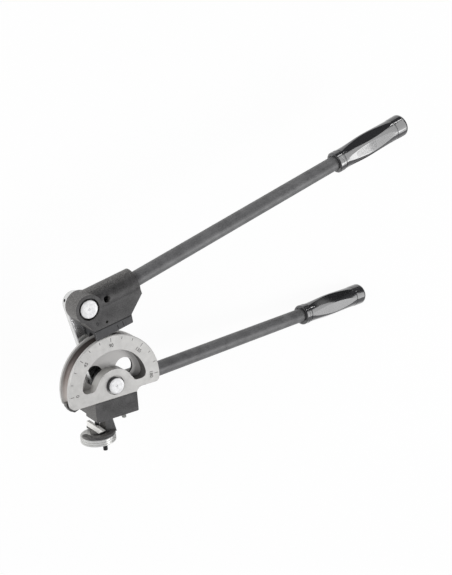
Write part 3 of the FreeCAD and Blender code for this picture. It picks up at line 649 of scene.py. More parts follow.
former_metal = former_finish()
bright_rim = skinned(
    "bright_rim", RIM_DARK, RIM_PALE, metallic=0.7, grain=1500.0, flow=120.0,
    depth=0.05 * MM, rough=(0.25, 0.4),
)
former = cut(copied("bend_former"), hollow_behind())
softened(former, FORMER_EDGE * MM, "frame", "former_metal", former_metal, bright_rim, "bend_former")


# Scale: ticks each 15 degrees and plain figures each 45, stamped in the former's face and filled with black.
# They are thin pieces sunk in the face, joined into one.
FACE_Z = 64.0 * MM
MARK_SUNK = 0.15 * MM
MARK_STANDS = 0.03 * MM
TICK_OUTER_R = 59.6 * MM
TICK_LENGTH = 3.4 * MM
TICK_WIDTH = 0.8 * MM
FIGURE_R = 50.0 * MM
FIGURE_SIZE = 6.0 * MM
MARK_BLACK = (0.055, 0.052, 0.05, 1.0)
MARK_GREY = (0.16, 0.155, 0.15, 1.0)
SCALE_END = 180
TICK_EVERY = 15
FIGURE_EVERY = 45
LONG_TICK = 1.45
STROKE_SHARE = 1 / 48

mark_fill = skinned(
    "mark_fill", MARK_BLACK, MARK_GREY, metallic=0.0, grain=1500.0, flow=400.0,
    depth=0.03 * MM, rough=(0.55, 0.7),
)


def joined(pieces, name):
    """Joins like pieces into one."""
    bpy.ops.object.select_all(action="DESELECT")
    for piece in pieces:
        piece.select_set(True)
    bpy.context.view_layer.objects.active = pieces[0]
    bpy.ops.object.join()
    pieces[0].name = name
    return pieces[0]


def bar(length, width, low, high):
    """A small bar along X with eased upper edges."""
    piece = added(bpy.ops.mesh.primitive_cube_add, "bar", size=1.0)
    edit_all()
    bpy.ops.transform.resize(value=(length, width, high - low))
    bpy.ops.transform.translate(value=(0.0, 0.0, (high + low) / 2))
    bpy.ops.mesh.bevel(offset=(high - low) / 4, segments=1)
    bpy.ops.object.mode_set(mode="OBJECT")
    return piece


def figure(text, size):
    """Plain figures as a thin mesh, centred on the origin."""
    piece = added(bpy.ops.object.text_add, "figure")
    piece.data.body = text
    piece.data.size = size
    piece.data.align_x = "CENTER"
    piece.data.align_y = "CENTER"
    piece.data.offset = size * STROKE_SHARE
    piece.data.extrude = (MARK_SUNK + MARK_STANDS) / 2
    piece.data.resolution_u = 4
    bpy.ops.object.convert(target="MESH")
    piece = bpy.context.object
    piece.data.transform(Matrix.Translation((0.0, 0.0, (MARK_STANDS - MARK_SUNK) / 2)))
    return piece


def around(piece, radius, degrees, spin):
    """Moves a mark out along X, then turns it to its place on the scale."""
    out = Matrix.Translation((radius, 0.0, FACE_Z))
    about = Matrix.Rotation(math.radians(degrees), 4, "Z")
    piece.data.transform(about @ out @ Matrix.Rotation(math.radians(spin), 4, "Z"))


marks = []
for degrees in range(0, SCALE_END + 1, TICK_EVERY):
    length = TICK_LENGTH * (LONG_TICK if degrees % FIGURE_EVERY == 0 else 1.0)
    tick = bar(length, TICK_WIDTH, -MARK_SUNK, MARK_STANDS)
    around(tick, TICK_OUTER_R - length / 2, SCALE_END - degrees, 0)
    marks.append(tick)
for degrees in range(0, SCALE_END + 1, FIGURE_EVERY):
    number = figure(str(degrees), FIGURE_SIZE)
    around(number, FIGURE_R, SCALE_END - degrees, -90)
    marks.append(number)
scale_marks = joined(marks, "scale_marks")
scale_marks.data.materials.clear()
scale_marks.data.materials.append(mark_fill)
seat(scale_marks, Matrix.Identity(4), "frame", "black_steel")


# Pivot: a turned pin, bright on its ground head, with its sides painted dark as shade, a plain spacer under
# the former and a grub screw in the boss behind. The head has a centre mark and one turned ring.
STEEL_DULL = (0.58, 0.58, 0.58, 1.0)
STEEL_BRIGHT = (0.88, 0.88, 0.88, 1.0)
# Painted shade: the dark steel of the pins' sides.
SIDE_SHADE_DARK = (0.06, 0.06, 0.062, 1.0)
SIDE_SHADE_PALE = (0.14, 0.14, 0.142, 1.0)
BLACK_DARK = (0.015, 0.015, 0.016, 1.0)
BLACK_PALE = (0.04, 0.04, 0.041, 1.0)
PIN_SIDES = 64
TURNED_SMOOTH_DEG = 30.0
PIN_EASE = 0.6
HEAD_RING = ((0.0, 0.63), (0.12, 0.62), (0.12, 0.57), (0.0, 0.56))
CENTRE_MARK = ((0.0, 1.5), (0.8, 0.4))
SIDE_FACING = 0.3

head_steel = skinned(
    "head_steel", STEEL_DULL, STEEL_BRIGHT, metallic=0.45, grain=1400.0, flow=260.0,
    depth=0.05 * MM, rough=(0.45, 0.6),
)
shaded_side_steel = skinned(
    "shaded_side_steel", SIDE_SHADE_DARK, SIDE_SHADE_PALE, metallic=0.6, grain=2000.0, flow=200.0,
    depth=0.03 * MM, rough=(0.35, 0.5),
)
black_steel = skinned(
    "black_steel", BLACK_DARK, BLACK_PALE, metallic=0.7, grain=2000.0, flow=200.0,
    depth=0.03 * MM, rough=(0.35, 0.5),
)


def turned(name, profile, sides):
    """Turns a piece on Z from (height, radius) steps: a disc is drawn up and scaled at each step."""
    height, radius = profile[0]
    disc = {"vertices": sides, "radius": radius * MM, "fill_type": "NGON"}
    piece = added(bpy.ops.mesh.primitive_circle_add, name, **disc)
    edit_all()
    bpy.ops.transform.translate(value=(0.0, 0.0, height * MM))
    for next_height, next_radius in profile[1:]:
        rise = (0.0, 0.0, (next_height - height) * MM)
        bpy.ops.mesh.extrude_region_move(TRANSFORM_OT_translate={"value": rise})
        grow = next_radius / radius
        centre = (0.0, 0.0, next_height * MM)
        bpy.ops.transform.resize(value=(grow, grow, 1.0), center_override=centre)
        height, radius = next_height, next_radius
    faced_out()
    bpy.ops.object.shade_smooth_by_angle(angle=math.radians(TURNED_SMOOTH_DEG))
    return piece


def headed_pin(name, shank, head, head_rise, foot, place, body, node):
    """A pin with a wide low head: ground face with a centre mark and a ring, sides painted dark as shade."""
    seat_z, top = head_rise
    steps = [(foot, shank - PIN_EASE), (foot + PIN_EASE, shank), (seat_z, shank), (seat_z, head)]
    steps += [(top - 0.9, head), (top - 0.25, head - 0.35), (top, head - 1.0)]
    steps += [(top - depth, head * share) for depth, share in HEAD_RING]
    steps += [(top - depth, radius) for depth, radius in CENTRE_MARK]
    pin = turned(name, steps, PIN_SIDES)
    pin.data.materials.append(head_steel)
    pin.data.materials.append(shaded_side_steel)
    for polygon in pin.data.polygons:
        # Faces that look sideways take the steel painted dark as shade.
        polygon.material_index = 1 if abs(polygon.normal.z) < SIDE_FACING else 0
    seat(pin, place, body, "bright_steel", node)
    return pin


PIVOT_SHANK_R = 8.0
PIVOT_HEAD_R = 9.8
PIVOT_HEAD_RISE = (62.0, 68.7)
headed_pin(
    "pivot_pin_turned", PIVOT_SHANK_R, PIVOT_HEAD_R, PIVOT_HEAD_RISE, 0.0, Matrix.Identity(4),
    "frame", "pivot_pin",
)


def dress(node, finish):
    """Gives a CAD node its finish."""
    slots = BENDER[node].material_slots
    for slot in slots:
        slot.material = finish
    if not slots:
        BENDER[node].data.materials.append(finish)


dress("pivot_spacer", shaded_side_steel)


GRUB_PITCH = 0.5
GRUB_ROOT = 0.86
GRUB_TIP = 0.4
GRUB_SIDES = 24
HEXAGON_SHARE = 0.55
HEXAGON_DEPTH = 2.4
PIVOT_GRUB = {"radius": 2.5, "length": 8.38, "start": (0.0, 8.02, 13.5), "heading": (0.0, 1.0, 0.0)}


def grub_screw(name, radius, length, start, heading, body, node):
    """A grub screw along the heading from its start, with a cupped tip, threads and a hexagon socket."""
    steps = [(0.0, radius * HEXAGON_SHARE), (GRUB_TIP, radius * 0.8)]
    for n in range(int((length - 2 * GRUB_TIP) / GRUB_PITCH)):
        foot = GRUB_TIP + GRUB_PITCH * n
        steps += [(foot, radius * GRUB_ROOT), (foot + GRUB_PITCH / 2, radius)]
    steps += [(length - 0.3, radius), (length, radius * 0.85)]
    screw = turned(name, steps, GRUB_SIDES)
    hexagon = added(
        bpy.ops.mesh.primitive_cylinder_add, "hexagon", vertices=6, radius=radius * HEXAGON_SHARE * MM,
        depth=HEXAGON_DEPTH * MM, location=(0, 0, length * MM),
    )
    pick(screw)
    socket = screw.modifiers.new("socket", "BOOLEAN")
    socket.object = hexagon
    bpy.ops.object.modifier_apply(modifier="socket")
    bpy.data.objects.remove(hexagon)
    screw.data.materials.clear()
    screw.data.materials.append(black_steel)
    turn = Vector(heading).to_track_quat("Z", "Y").to_matrix().to_4x4()
    seat(screw, Matrix.Translation(Vector(start) * MM) @ turn, body, "black_steel", node)


grub_screw("pivot_grub_turned", body="frame", node="pivot_grub_screw", **PIVOT_GRUB)


# Link: a thick zinc-plated steel bar that swings behind the former from the pivot to the lever pin. It has a
# turned brass bush at the pivot. The lever pin is held in its other end by a small grub screw.
LEVER_PIN = (-25.5445, 102.3608)
LEVER_PIN_PLACE = Matrix.Translation((LEVER_PIN[0] * MM, LEVER_PIN[1] * MM, 0.0))
LEVER_SHANK_R = 8.0
LEVER_HEAD_R = 11.0
LEVER_HEAD_RISE = (63.4, 68.6)
LEVER_PIN_FOOT = 27.3
LINK_GRUB_DEG = 157.0
LINK_GRUB_Z = 32.15
LINK_GRUB_R = 2.0
LINK_GRUB_LENGTH = 5.38
PIN_GAP = 0.02
LINK_EDGE = 0.4
LINK_DULL = (0.58, 0.58, 0.575, 1.0)
LINK_BRIGHT = (0.78, 0.78, 0.775, 1.0)
BRASS_DULL = (0.5, 0.36, 0.15, 1.0)
BRASS_BRIGHT = (0.66, 0.5, 0.24, 1.0)

link_zinc = skinned(
    "link_zinc", LINK_DULL, LINK_BRIGHT, metallic=0.95, grain=1800.0, flow=120.0,
    depth=0.05 * MM, rough=(0.16, 0.28),
)
softened(copied("link_plate"), LINK_EDGE * MM, "link", "link_metal", link_zinc, bright_rim, "link_plate")
bush_brass = skinned(
    "bush_brass", BRASS_DULL, BRASS_BRIGHT, metallic=0.9, grain=1800.0, flow=120.0,
    depth=0.05 * MM, rough=(0.3, 0.45),
)
dress("link_bush", bush_brass)
grub_turn = math.radians(LINK_GRUB_DEG)
grub_out = Vector((math.cos(grub_turn), math.sin(grub_turn), 0.0))
grub_start = Vector((LEVER_PIN[0], LEVER_PIN[1], LINK_GRUB_Z)) + grub_out * (LEVER_SHANK_R + PIN_GAP)
grub_screw("link_grub_turned", LINK_GRUB_R, LINK_GRUB_LENGTH, grub_start, grub_out, "link", "link_grub_screw")
headed_pin(
    "lever_pin_turned", LEVER_SHANK_R, LEVER_HEAD_R, LEVER_HEAD_RISE, LEVER_PIN_FOOT, LEVER_PIN_PLACE,
    "link", "lever_pin",
)


# Lever head: a dark sand casting with a boss round the lever pin, two cheeks over the shoe, a tail that is
# hollow behind, and the round socket of the upper handle. A zero is stamped in its cheek. Two index lines
# lie on the shoe, and under the cheek's ledge a black strip of painted shadow.
HANDLE_DEG = 15.59
SHOE_DEG = 12.6
LEVER_PLACE = LEVER_PIN_PLACE @ Matrix.Rotation(math.radians(HANDLE_DEG), 4, "Z")
SHOE_PLACE = Matrix.Rotation(math.radians(SHOE_DEG), 4, "Z")
LEVER_REAR = 37.3
CHEEK_FRONT = 66.6
CHEEK_Z = CHEEK_FRONT * MM
LEVER_BOSS_R = 17.5
LEVER_BOSS_REAR = 42.0
LEVER_BOSS_FRONT = 68.5
LEVER_HUB_R = 13.0
LEVER_OUTLINE = (
    (0.0, 0.0), (-16.4, -3.9), (-12.4, -11.2), (-8.0, -19.8), (-3.1, -29.5), (3.7, -43.0), (38.0, -42.0),
    (48.4, -33.5), (69.5, -17.3), (69.8, -8.7), (69.8, -3.6),
)
SOCKET_R = 16.3
SOCKET_ROOT = Vector((0.0, 1.2, 52.0))
SOCKET_RIM = Vector((69.8, -3.6, 52.0))
SOCKET_SPARE = 30.0
TUBE_BORE_R = 9.52
TUBE_START = 16.0
TUBE_AXIS_V = -3.6
ROLL_PIN_R = 3.02
LEVER_EDGE = 1.0
PAST = 1.0
PIN_RECESS_R = 13.3
PIN_RECESS_FLOOR = 63.2
BUSH_BORE_R = 10.52
ROLL_PIN_AT = (25.7, -1.6)
ROLL_RECESS_AT = (25.0, 0.0)
ROLL_RECESS_R = 4.4
ROLL_RECESS_FLOOR = 62.2
SHOE_LEFT_S = -4.1
SHOE_RIGHT_S = 46.8
SHOE_FOOT_T = 62.3
SHOE_TOP_T = 84.0
SHOE_LEAN = 1.4 / 11.9
SHOE_GAP = 0.3
LEDGE_LEFT_T = 75.8
LEDGE_RIGHT_T = 73.5
TAIL_WALL_REAR = 58.0
TAIL_HOLLOW_S = -6.1
SHOE_PIN_AT = (15.6, -26.4)
SHOE_PIN_R = 1.75
FAR = 120.0
ROUND_SIDES = 96
INDEX_LINES = ((27.0, -40.3, 4.8), (34.7, -40.1, 6.0))
INDEX_WIDTH = 1.0
ZERO_AT = (3.4, -22.6)
# Where the strip of painted shadow under the cheek's ledge lies on the shoe.
LEDGE_SHADOW_DROP = 1.9
LEDGE_SHADOW_WIDTH = 1.3
LEDGE_SHADOW_LEFT_IN = 0.6
LEDGE_SHADOW_RIGHT_IN = 0.2
STAMP_AND_SHADOW_BLACK = (0.004, 0.004, 0.004, 1.0)
STAMP_AND_SHADOW_DARK = (0.010, 0.010, 0.010, 1.0)


def rod(name, radius, low, high, at=(0.0, 0.0)):
    """A round bar along Z."""
    place = Matrix.Translation((at[0] * MM, at[1] * MM, 0.0))
    return moved(turned(name, [(low, radius), (high, radius)], ROUND_SIDES), place)


def shaped_socket():
    """The round socket whose upper edge runs straight from the boss to the rim."""
    along = SOCKET_RIM - SOCKET_ROOT
    blank = rod("socket_blank", SOCKET_R, -SOCKET_SPARE, along.length + SOCKET_SPARE)
    lay = along.to_track_quat("Z", "Y").to_matrix().to_4x4()
    moved(blank, Matrix.Translation(SOCKET_ROOT * MM) @ lay)
    pick(blank)
    bpy.ops.object.mode_set(mode="EDIT")
    ends = (
        ((0, 0, 0), (-1, 0, 0)),
        ((SOCKET_RIM.x * MM, 0, 0), (1, 0, 0)),
        ((0, 0, LEVER_REAR * MM), (0, 0, -1)),
    )
    for point, outward in ends:
        bpy.ops.mesh.select_all(action="SELECT")
        bpy.ops.mesh.bisect(plane_co=point, plane_no=outward, use_fill=True, clear_outer=True)
    bpy.ops.object.mode_set(mode="OBJECT")
    return blank


def shoe_pocket():
    """The closed pocket between the cheeks that holds the shoe's tenon."""
    top = SHOE_TOP_T + SHOE_GAP
    lean = SHOE_LEAN * (top - SHOE_FOOT_T)
    outline = ((SHOE_LEFT_S - SHOE_GAP, SHOE_FOOT_T), (SHOE_RIGHT_S + SHOE_GAP, SHOE_FOOT_T),
               (SHOE_RIGHT_S + SHOE_GAP + lean, top), (SHOE_LEFT_S - SHOE_GAP + lean, top))
    return moved(prism("shoe_pocket", outline, 40.0, 64.0), SHOE_PLACE)


def below_ledge():
    """All that lies below the slanted ledge over the shoe."""
    slope = (LEDGE_RIGHT_T - LEDGE_LEFT_T) / (SHOE_RIGHT_S - SHOE_LEFT_S)
    outline = ((-FAR, 0.0), (FAR, 0.0), (FAR, LEDGE_LEFT_T + slope * (FAR - SHOE_LEFT_S)),
               (-FAR, LEDGE_LEFT_T + slope * (-FAR - SHOE_LEFT_S)))
    return moved(prism("below_ledge", outline, LEVER_REAR - PAST, LEVER_BOSS_FRONT + PAST), SHOE_PLACE)


def tail_hollow():
    """The hollow behind the tail, round the boss and its hub."""
    outline = ((-FAR, 0.0), (TAIL_HOLLOW_S, 0.0), (TAIL_HOLLOW_S, FAR + 20), (-FAR, FAR + 20))
    hollow = moved(prism("tail_hollow", outline, LEVER_REAR - PAST, TAIL_WALL_REAR), SHOE_PLACE)
    cut(hollow, rod("boss_kept", LEVER_BOSS_R, LEVER_BOSS_REAR, LEVER_BOSS_FRONT, LEVER_PIN))
    return cut(hollow, rod("hub_kept", LEVER_HUB_R, LEVER_REAR - 2 * PAST, LEVER_BOSS_FRONT, LEVER_PIN))


def shaped_lever_head():
    """The whole head: body, boss, hub and socket welded, then bored, recessed and hollowed."""
    head = prism("lever_head", LEVER_OUTLINE, LEVER_REAR, CHEEK_FRONT)
    top = LEVER_BOSS_FRONT
    weld(head, rod("lever_boss", LEVER_BOSS_R, LEVER_BOSS_REAR, top))
    weld(head, rod("lever_hub", LEVER_HUB_R, LEVER_REAR, CHEEK_FRONT))
    weld(head, shaped_socket())
    bore = rod("tube_bore", TUBE_BORE_R, TUBE_START, FAR)
    tube_axis = Matrix.Translation((0.0, TUBE_AXIS_V * MM, BEND_Z))
    cut(head, moved(bore, tube_axis @ Matrix.Rotation(math.radians(90), 4, "Y")))
    cut(head, rod("bush_bore", BUSH_BORE_R, LEVER_REAR - PAST, top + PAST))
    cut(head, rod("pin_recess", PIN_RECESS_R, PIN_RECESS_FLOOR, top + PAST))
    cut(head, rod("roll_pin_hole", ROLL_PIN_R, LEVER_REAR - 5 * PAST, ROLL_RECESS_FLOOR + PAST, ROLL_PIN_AT))
    cut(head, rod("roll_pin_recess", ROLL_RECESS_R, ROLL_RECESS_FLOOR, top + 5 * PAST, ROLL_RECESS_AT))
    moved(head, LEVER_PLACE)
    cut(head, below_ledge())
    cut(head, shoe_pocket())
    cut(head, tail_hollow())
    hole = rod("shoe_pin_hole", SHOE_PIN_R + PIN_GAP, LEVER_REAR - PAST, top + PAST, SHOE_PIN_AT)
    return cut(head, moved(hole, LEVER_PLACE))


lever_head = shaped_lever_head()
softened(lever_head, LEVER_EDGE * MM, "lever", "dark_casting", dark_cast, highlit_worn_cast, "lever_casting")
dress("lever_bush", bush_brass)
marks_and_shadow = []
for u, v, length in INDEX_LINES:
    line = bar(length * MM, INDEX_WIDTH * MM, -MARK_SUNK, MARK_STANDS)
    line_place = Matrix.Translation((u * MM, v * MM, FACE_Z))
    line.data.transform(line_place @ Matrix.Rotation(math.radians(90), 4, "Z"))
    marks_and_shadow.append(line)
# Painted shadow: a thin black strip on the shoe just under the cheek's ledge.
shadow_left = Vector((SHOE_LEFT_S + LEDGE_SHADOW_LEFT_IN, LEDGE_LEFT_T - LEDGE_SHADOW_DROP, 0.0))
shadow_right = Vector((SHOE_RIGHT_S - LEDGE_SHADOW_RIGHT_IN, LEDGE_RIGHT_T - LEDGE_SHADOW_DROP, 0.0))
shadow_run = shadow_right - shadow_left
ledge_shadow = bar(shadow_run.length * MM, LEDGE_SHADOW_WIDTH * MM, -MARK_SUNK, MARK_STANDS)
shadow_turn = Matrix.Rotation(math.atan2(shadow_run.y, shadow_run.x), 4, "Z")
shadow_middle = Matrix.Translation((shadow_left + shadow_right) / 2 * MM + Vector((0.0, 0.0, FACE_Z)))
ledge_shadow.data.transform(LEVER_PLACE.inverted() @ SHOE_PLACE @ shadow_middle @ shadow_turn)
marks_and_shadow.append(ledge_shadow)
zero = figure("0", FIGURE_SIZE)
zero.data.transform(Matrix.Translation((ZERO_AT[0] * MM, ZERO_AT[1] * MM, CHEEK_Z)))
marks_and_shadow.append(zero)
lever_marks_and_shadow = joined(marks_and_shadow, "lever_marks_and_shadow")
lever_marks_and_shadow.data.materials.clear()
# One black fill for the stamps and for the painted shadow strip.
stamp_and_shadow_fill = skinned(
    "stamp_and_shadow_fill", STAMP_AND_SHADOW_BLACK, STAMP_AND_SHADOW_DARK, metallic=0.0, grain=1500.0, flow=400.0,
    depth=0.03 * MM, rough=(0.7, 0.85),
)
lever_marks_and_shadow.data.materials.append(stamp_and_shadow_fill)
seat(lever_marks_and_shadow, LEVER_PLACE, "lever", "black_steel")


# Shoe, shoe pin and spring pins: the shoe is blackened steel with a grooved foot, held between the cheeks by
# a black pin that sits a little deep. Rolled spring pins lock both handle tubes in their sockets.
SHOE_DARK = (0.030, 0.030, 0.032, 1.0)
SHOE_PALE = (0.060, 0.060, 0.062, 1.0)
SHOE_EDGE = 0.5
SHOE_PIN_END = 60.5

shoe_black = skinned(
    "shoe_black", SHOE_DARK, SHOE_PALE, metallic=0.4, grain=1300.0, flow=80.0,
    depth=0.12 * MM, rough=(0.4, 0.55),
)
shoe = copied("bending_shoe")
softened(shoe, SHOE_EDGE * MM, "lever", "shoe_metal", shoe_black, highlit_worn_cast, "bending_shoe")
shoe_pin = rod("shoe_pin_turned", SHOE_PIN_R, LEVER_REAR, SHOE_PIN_END, SHOE_PIN_AT)
shoe_pin.data.materials.append(black_steel)
seat(shoe_pin, LEVER_PLACE, "lever", "black_steel", "shoe_pin")
for node in ("upper_roll_pin", "lower_roll_pin"):
    dress(node, black_steel)


# Handle tubes: drawn steel tube in dark grey hammered paint. Both are pressed into their sockets, and a
# spring pin goes through each.
TUBE_DARK = (0.095, 0.095, 0.096, 1.0)
TUBE_PALE = (0.20, 0.20, 0.201, 1.0)

tube_paint = skinned(
    "tube_paint", TUBE_DARK, TUBE_PALE, metallic=0.25, grain=750.0, flow=70.0,
    depth=0.2 * MM, rough=(0.45, 0.6),
)
for node in ("lower_handle_tube", "upper_handle_tube"):
    dress(node, tube_paint)


# Grips: hard black plastic, moulded very glossy. Each has a collar with a fine groove, a swelling barrel with
# six lens-shaped flats and a domed cap. The upper grip's front flat is finely ribbed across.
GRIP_BLACK = (0.012, 0.012, 0.013, 1.0)
GRIP_SOFT_BLACK = (0.022, 0.022, 0.024, 1.0)
GRIP_COLLAR = (
    (1.5, 10.1), (0.0, 10.6), (0.0, 12.6), (0.35, 13.4), (1.2, 14.0), (5.4, 14.0), (5.7, 13.7), (6.3, 13.7),
    (6.6, 14.0), (9.3, 14.0), (10.0, 13.5), (10.2, 12.8), (11.3, 12.8), (11.6, 13.4),
)
GRIP_SWELLS = ((11.6, 13.4), (55.0, 16.08), (101.0, 14.4))
GRIP_NECK = ((101.5, 14.15), (102.4, 14.15), (103.0, 14.5), (106.5, 14.72))
GRIP_CAP = (116.6, 14.9)
GRIP_TIP = (122.0, 10.2)
GRIP_END_R = 4.0
GRIP_SMOOTH_DEG = 16.0
GRIP_FLAT_WEIGHT = 90
GRIP_IOR = 1.7
GRIP_COAT = 0.6
GRIP_COAT_ROUGHNESS = 0.08
GRIP_SIDES = 120
SWELL_STEPS = 16
CAP_STEPS = 8
FLAT_HALF_DEG = 25.5
FLAT_FULLNESS = 0.5
FLAT_COUNT = 6
FLAT_LEAST_DEG = 8.0
FLAT_COLUMNS = 0.8
UPPER_GRIP_START = 394.5
LOWER_GRIP_START = 352.5
UPPER_AXIS = LEVER_PLACE @ Matrix.Translation((0.0, TUBE_AXIS_V * MM, BEND_Z))
LOWER_ROOT = Vector((0.0, -23.0, 15.0))
LOWER_RAKE_DEG = 7.2
LOWER_AXIS = Matrix.Translation(LOWER_ROOT * MM) @ Matrix.Rotation(math.radians(LOWER_RAKE_DEG), 4, "Y")
RIB_PITCH = 1.9
RIB_SPAN = (30.0, 64.0)
RIB_WIDTH = 0.8
RIB_INSET = 1.2
RIB_SUNK = 0.3
RIB_STANDS = 0.16

grip_gloss = skinned(
    "grip_gloss", GRIP_BLACK, GRIP_SOFT_BLACK, metallic=0.0, grain=1300.0, flow=60.0,
    depth=0.02 * MM, rough=(0.11, 0.17),
)
grip_shader = grip_gloss.node_tree.nodes["Principled BSDF"]
grip_shader.inputs["IOR"].default_value = GRIP_IOR
grip_shader.inputs["Coat Weight"].default_value = GRIP_COAT
grip_shader.inputs["Coat Roughness"].default_value = GRIP_COAT_ROUGHNESS


def barrel_radius(at):
    """The barrel's radius: it swells softly from the waist to the belly and falls to the neck."""
    low, mid, high = GRIP_SWELLS
    start, end = (low, mid) if at < mid[0] else (mid, high)
    share = (at - start[0]) / (end[0] - start[0])
    return start[1] + (end[1] - start[1]) * (1 - math.cos(math.pi * share)) / 2


def flat_half_angle(at):
    """Half the angle that each flat takes of the barrel: widest at the belly, none at its ends."""
    first, last = GRIP_SWELLS[0][0], GRIP_SWELLS[2][0]
    share = min(max((at - first) / (last - first), 0.0), 1.0)
    return math.radians(FLAT_HALF_DEG) * math.sin(math.pi * share) ** FLAT_FULLNESS


def on_flats(angle, half):
    """A column's new angle, with a column right on each edge of a flat, and how far the flat draws it in."""
    spacing = 2 * math.pi / FLAT_COUNT
    middle = spacing * round(angle / spacing)
    share = abs(angle - middle) / (spacing / 2)
    edge = max(half, math.radians(FLAT_LEAST_DEG))
    if share <= FLAT_COLUMNS + 0.001:
        aside = edge * share / FLAT_COLUMNS
    else:
        aside = edge + (spacing / 2 - edge) * (share - FLAT_COLUMNS) / (1 - FLAT_COLUMNS)
    inward = math.cos(half) / math.cos(aside) if aside < half else 1.0
    return middle + math.copysign(aside, angle - middle), inward


def moulded_grip(name):
    """A grip along Z: turned as a body of revolution, then its barrel is drawn in to the flats."""
    first, last = GRIP_SWELLS[0][0], GRIP_SWELLS[2][0]
    steps = list(GRIP_COLLAR)
    for n in range(1, SWELL_STEPS * 2 + 1):
        at = first + (last - first) * n / (SWELL_STEPS * 2)
        steps.append((at, barrel_radius(at)))
    steps += list(GRIP_NECK) + [GRIP_CAP]
    for n in range(1, CAP_STEPS + 1):
        angle = math.pi / 2 * n / CAP_STEPS
        at = GRIP_CAP[0] + (GRIP_TIP[0] - GRIP_CAP[0]) * math.sin(angle)
        steps.append((at, GRIP_TIP[1] + (GRIP_CAP[1] - GRIP_TIP[1]) * math.cos(angle)))
    steps += [(GRIP_TIP[0], GRIP_END_R)]
    grip = turned(name, steps, GRIP_SIDES)
    for vertex in grip.data.vertices:
        at = vertex.co.z / MM
        if first - 0.01 < at < last + 0.01:
            turn, reach = on_flats(math.atan2(vertex.co.y, vertex.co.x), flat_half_angle(at))
            reach *= math.hypot(vertex.co.x, vertex.co.y)
            vertex.co.x = reach * math.cos(turn)
            vertex.co.y = reach * math.sin(turn)
    bpy.ops.object.shade_smooth_by_angle(angle=math.radians(GRIP_SMOOTH_DEG))
    evening = grip.modifiers.new("evening", "WEIGHTED_NORMAL")
    evening.weight = GRIP_FLAT_WEIGHT
    evening.keep_sharp = True
    bpy.ops.object.modifier_apply(modifier="evening")
    grip.data.materials.append(grip_gloss)
    return grip


ALONG_X = Matrix.Rotation(math.radians(90), 4, "Y")
UPPER_GRIP_PLACE = UPPER_AXIS @ Matrix.Translation((UPPER_GRIP_START * MM, 0, 0))
LOWER_GRIP_PLACE = LOWER_AXIS @ Matrix.Translation((LOWER_GRIP_START * MM, 0, 0))
upper_grip = moulded_grip("upper_grip_moulded")
seat(upper_grip, UPPER_GRIP_PLACE @ ALONG_X, "lever", "grip_plastic", "upper_grip")
lower_grip = moulded_grip("lower_grip_moulded")
seat(lower_grip, LOWER_GRIP_PLACE @ ALONG_X, "frame", "grip_plastic", "lower_grip")
ribs = []
rib_at = RIB_SPAN[0]
while rib_at < RIB_SPAN[1]:
    half_angle = flat_half_angle(rib_at)
    half = barrel_radius(rib_at) * math.sin(half_angle) - RIB_INSET
    rib = bar(RIB_WIDTH * MM, 2 * half * MM, -RIB_SUNK * MM, RIB_STANDS * MM)
    flat_out = barrel_radius(rib_at) * math.cos(half_angle)
    rib.data.transform(Matrix.Translation((rib_at * MM, 0.0, flat_out * MM)))
    ribs.append(rib)
    rib_at += RIB_PITCH
grip_ribs = joined(ribs, "upper_grip_ribs")
grip_ribs.data.materials.clear()
grip_ribs.data.materials.append(grip_gloss)
seat(grip_ribs, UPPER_GRIP_PLACE, "lever", "grip_plastic")
grips_only = bpy.data.collections.new("grips_only")
for piece in (upper_grip, lower_grip, grip_ribs):
    grips_only.objects.link(piece)
grip_card = bpy.data.objects["grip_card"]
grip_card.visible_diffuse = False
grip_card.light_linking.receiver_collection = grips_only


# Fixing screw: a zinc-plated stud with a cut thread, on the right. It comes up through the lug into the
# former. Its fellow on the left belongs to the bracket below.
ZINC_DULL = (0.52, 0.52, 0.505, 1.0)
ZINC_BRIGHT = (0.74, 0.74, 0.72, 1.0)
THREAD_PITCH = 0.9
THREAD_ROOT = 0.84
THREAD_SIDES = 28
STUD_X = 14.0
STUD_R = 2.75
STUD_FOOT = -50.0
STUD_TOP = -6.3
STUD_THREAD_TO = -41.0
UPWARD = Matrix.Rotation(math.radians(-90), 4, "X")

zinc_steel = skinned(
    "zinc_steel", ZINC_DULL, ZINC_BRIGHT, metallic=0.6, grain=1500.0, flow=120.0,
    depth=0.06 * MM, rough=(0.3, 0.45),
)


def threaded(name, foot, top, radius, thread_to, finish):
    """A screw along Z with an eased foot and a cut thread up to the given height."""
    steps = [(foot, radius * 0.75), (foot + 0.4, radius * THREAD_ROOT)]
    height = foot + 0.4
    while height + THREAD_PITCH < thread_to:
        steps += [(height + THREAD_PITCH / 2, radius), (height + THREAD_PITCH, radius * THREAD_ROOT)]
        height += THREAD_PITCH
    steps += [(thread_to, radius), (top - 0.3, radius), (top, radius * 0.85)]
    screw = turned(name, steps, THREAD_SIDES)
    screw.data.materials.append(finish)
    return screw


stud = threaded("former_stud_cut", STUD_FOOT, STUD_TOP, STUD_R, STUD_THREAD_TO, zinc_steel)
seat(stud, Matrix.Translation((STUD_X * MM, 0.0, BEND_Z)) @ UPWARD, "frame", "zinc_steel", "former_screw")


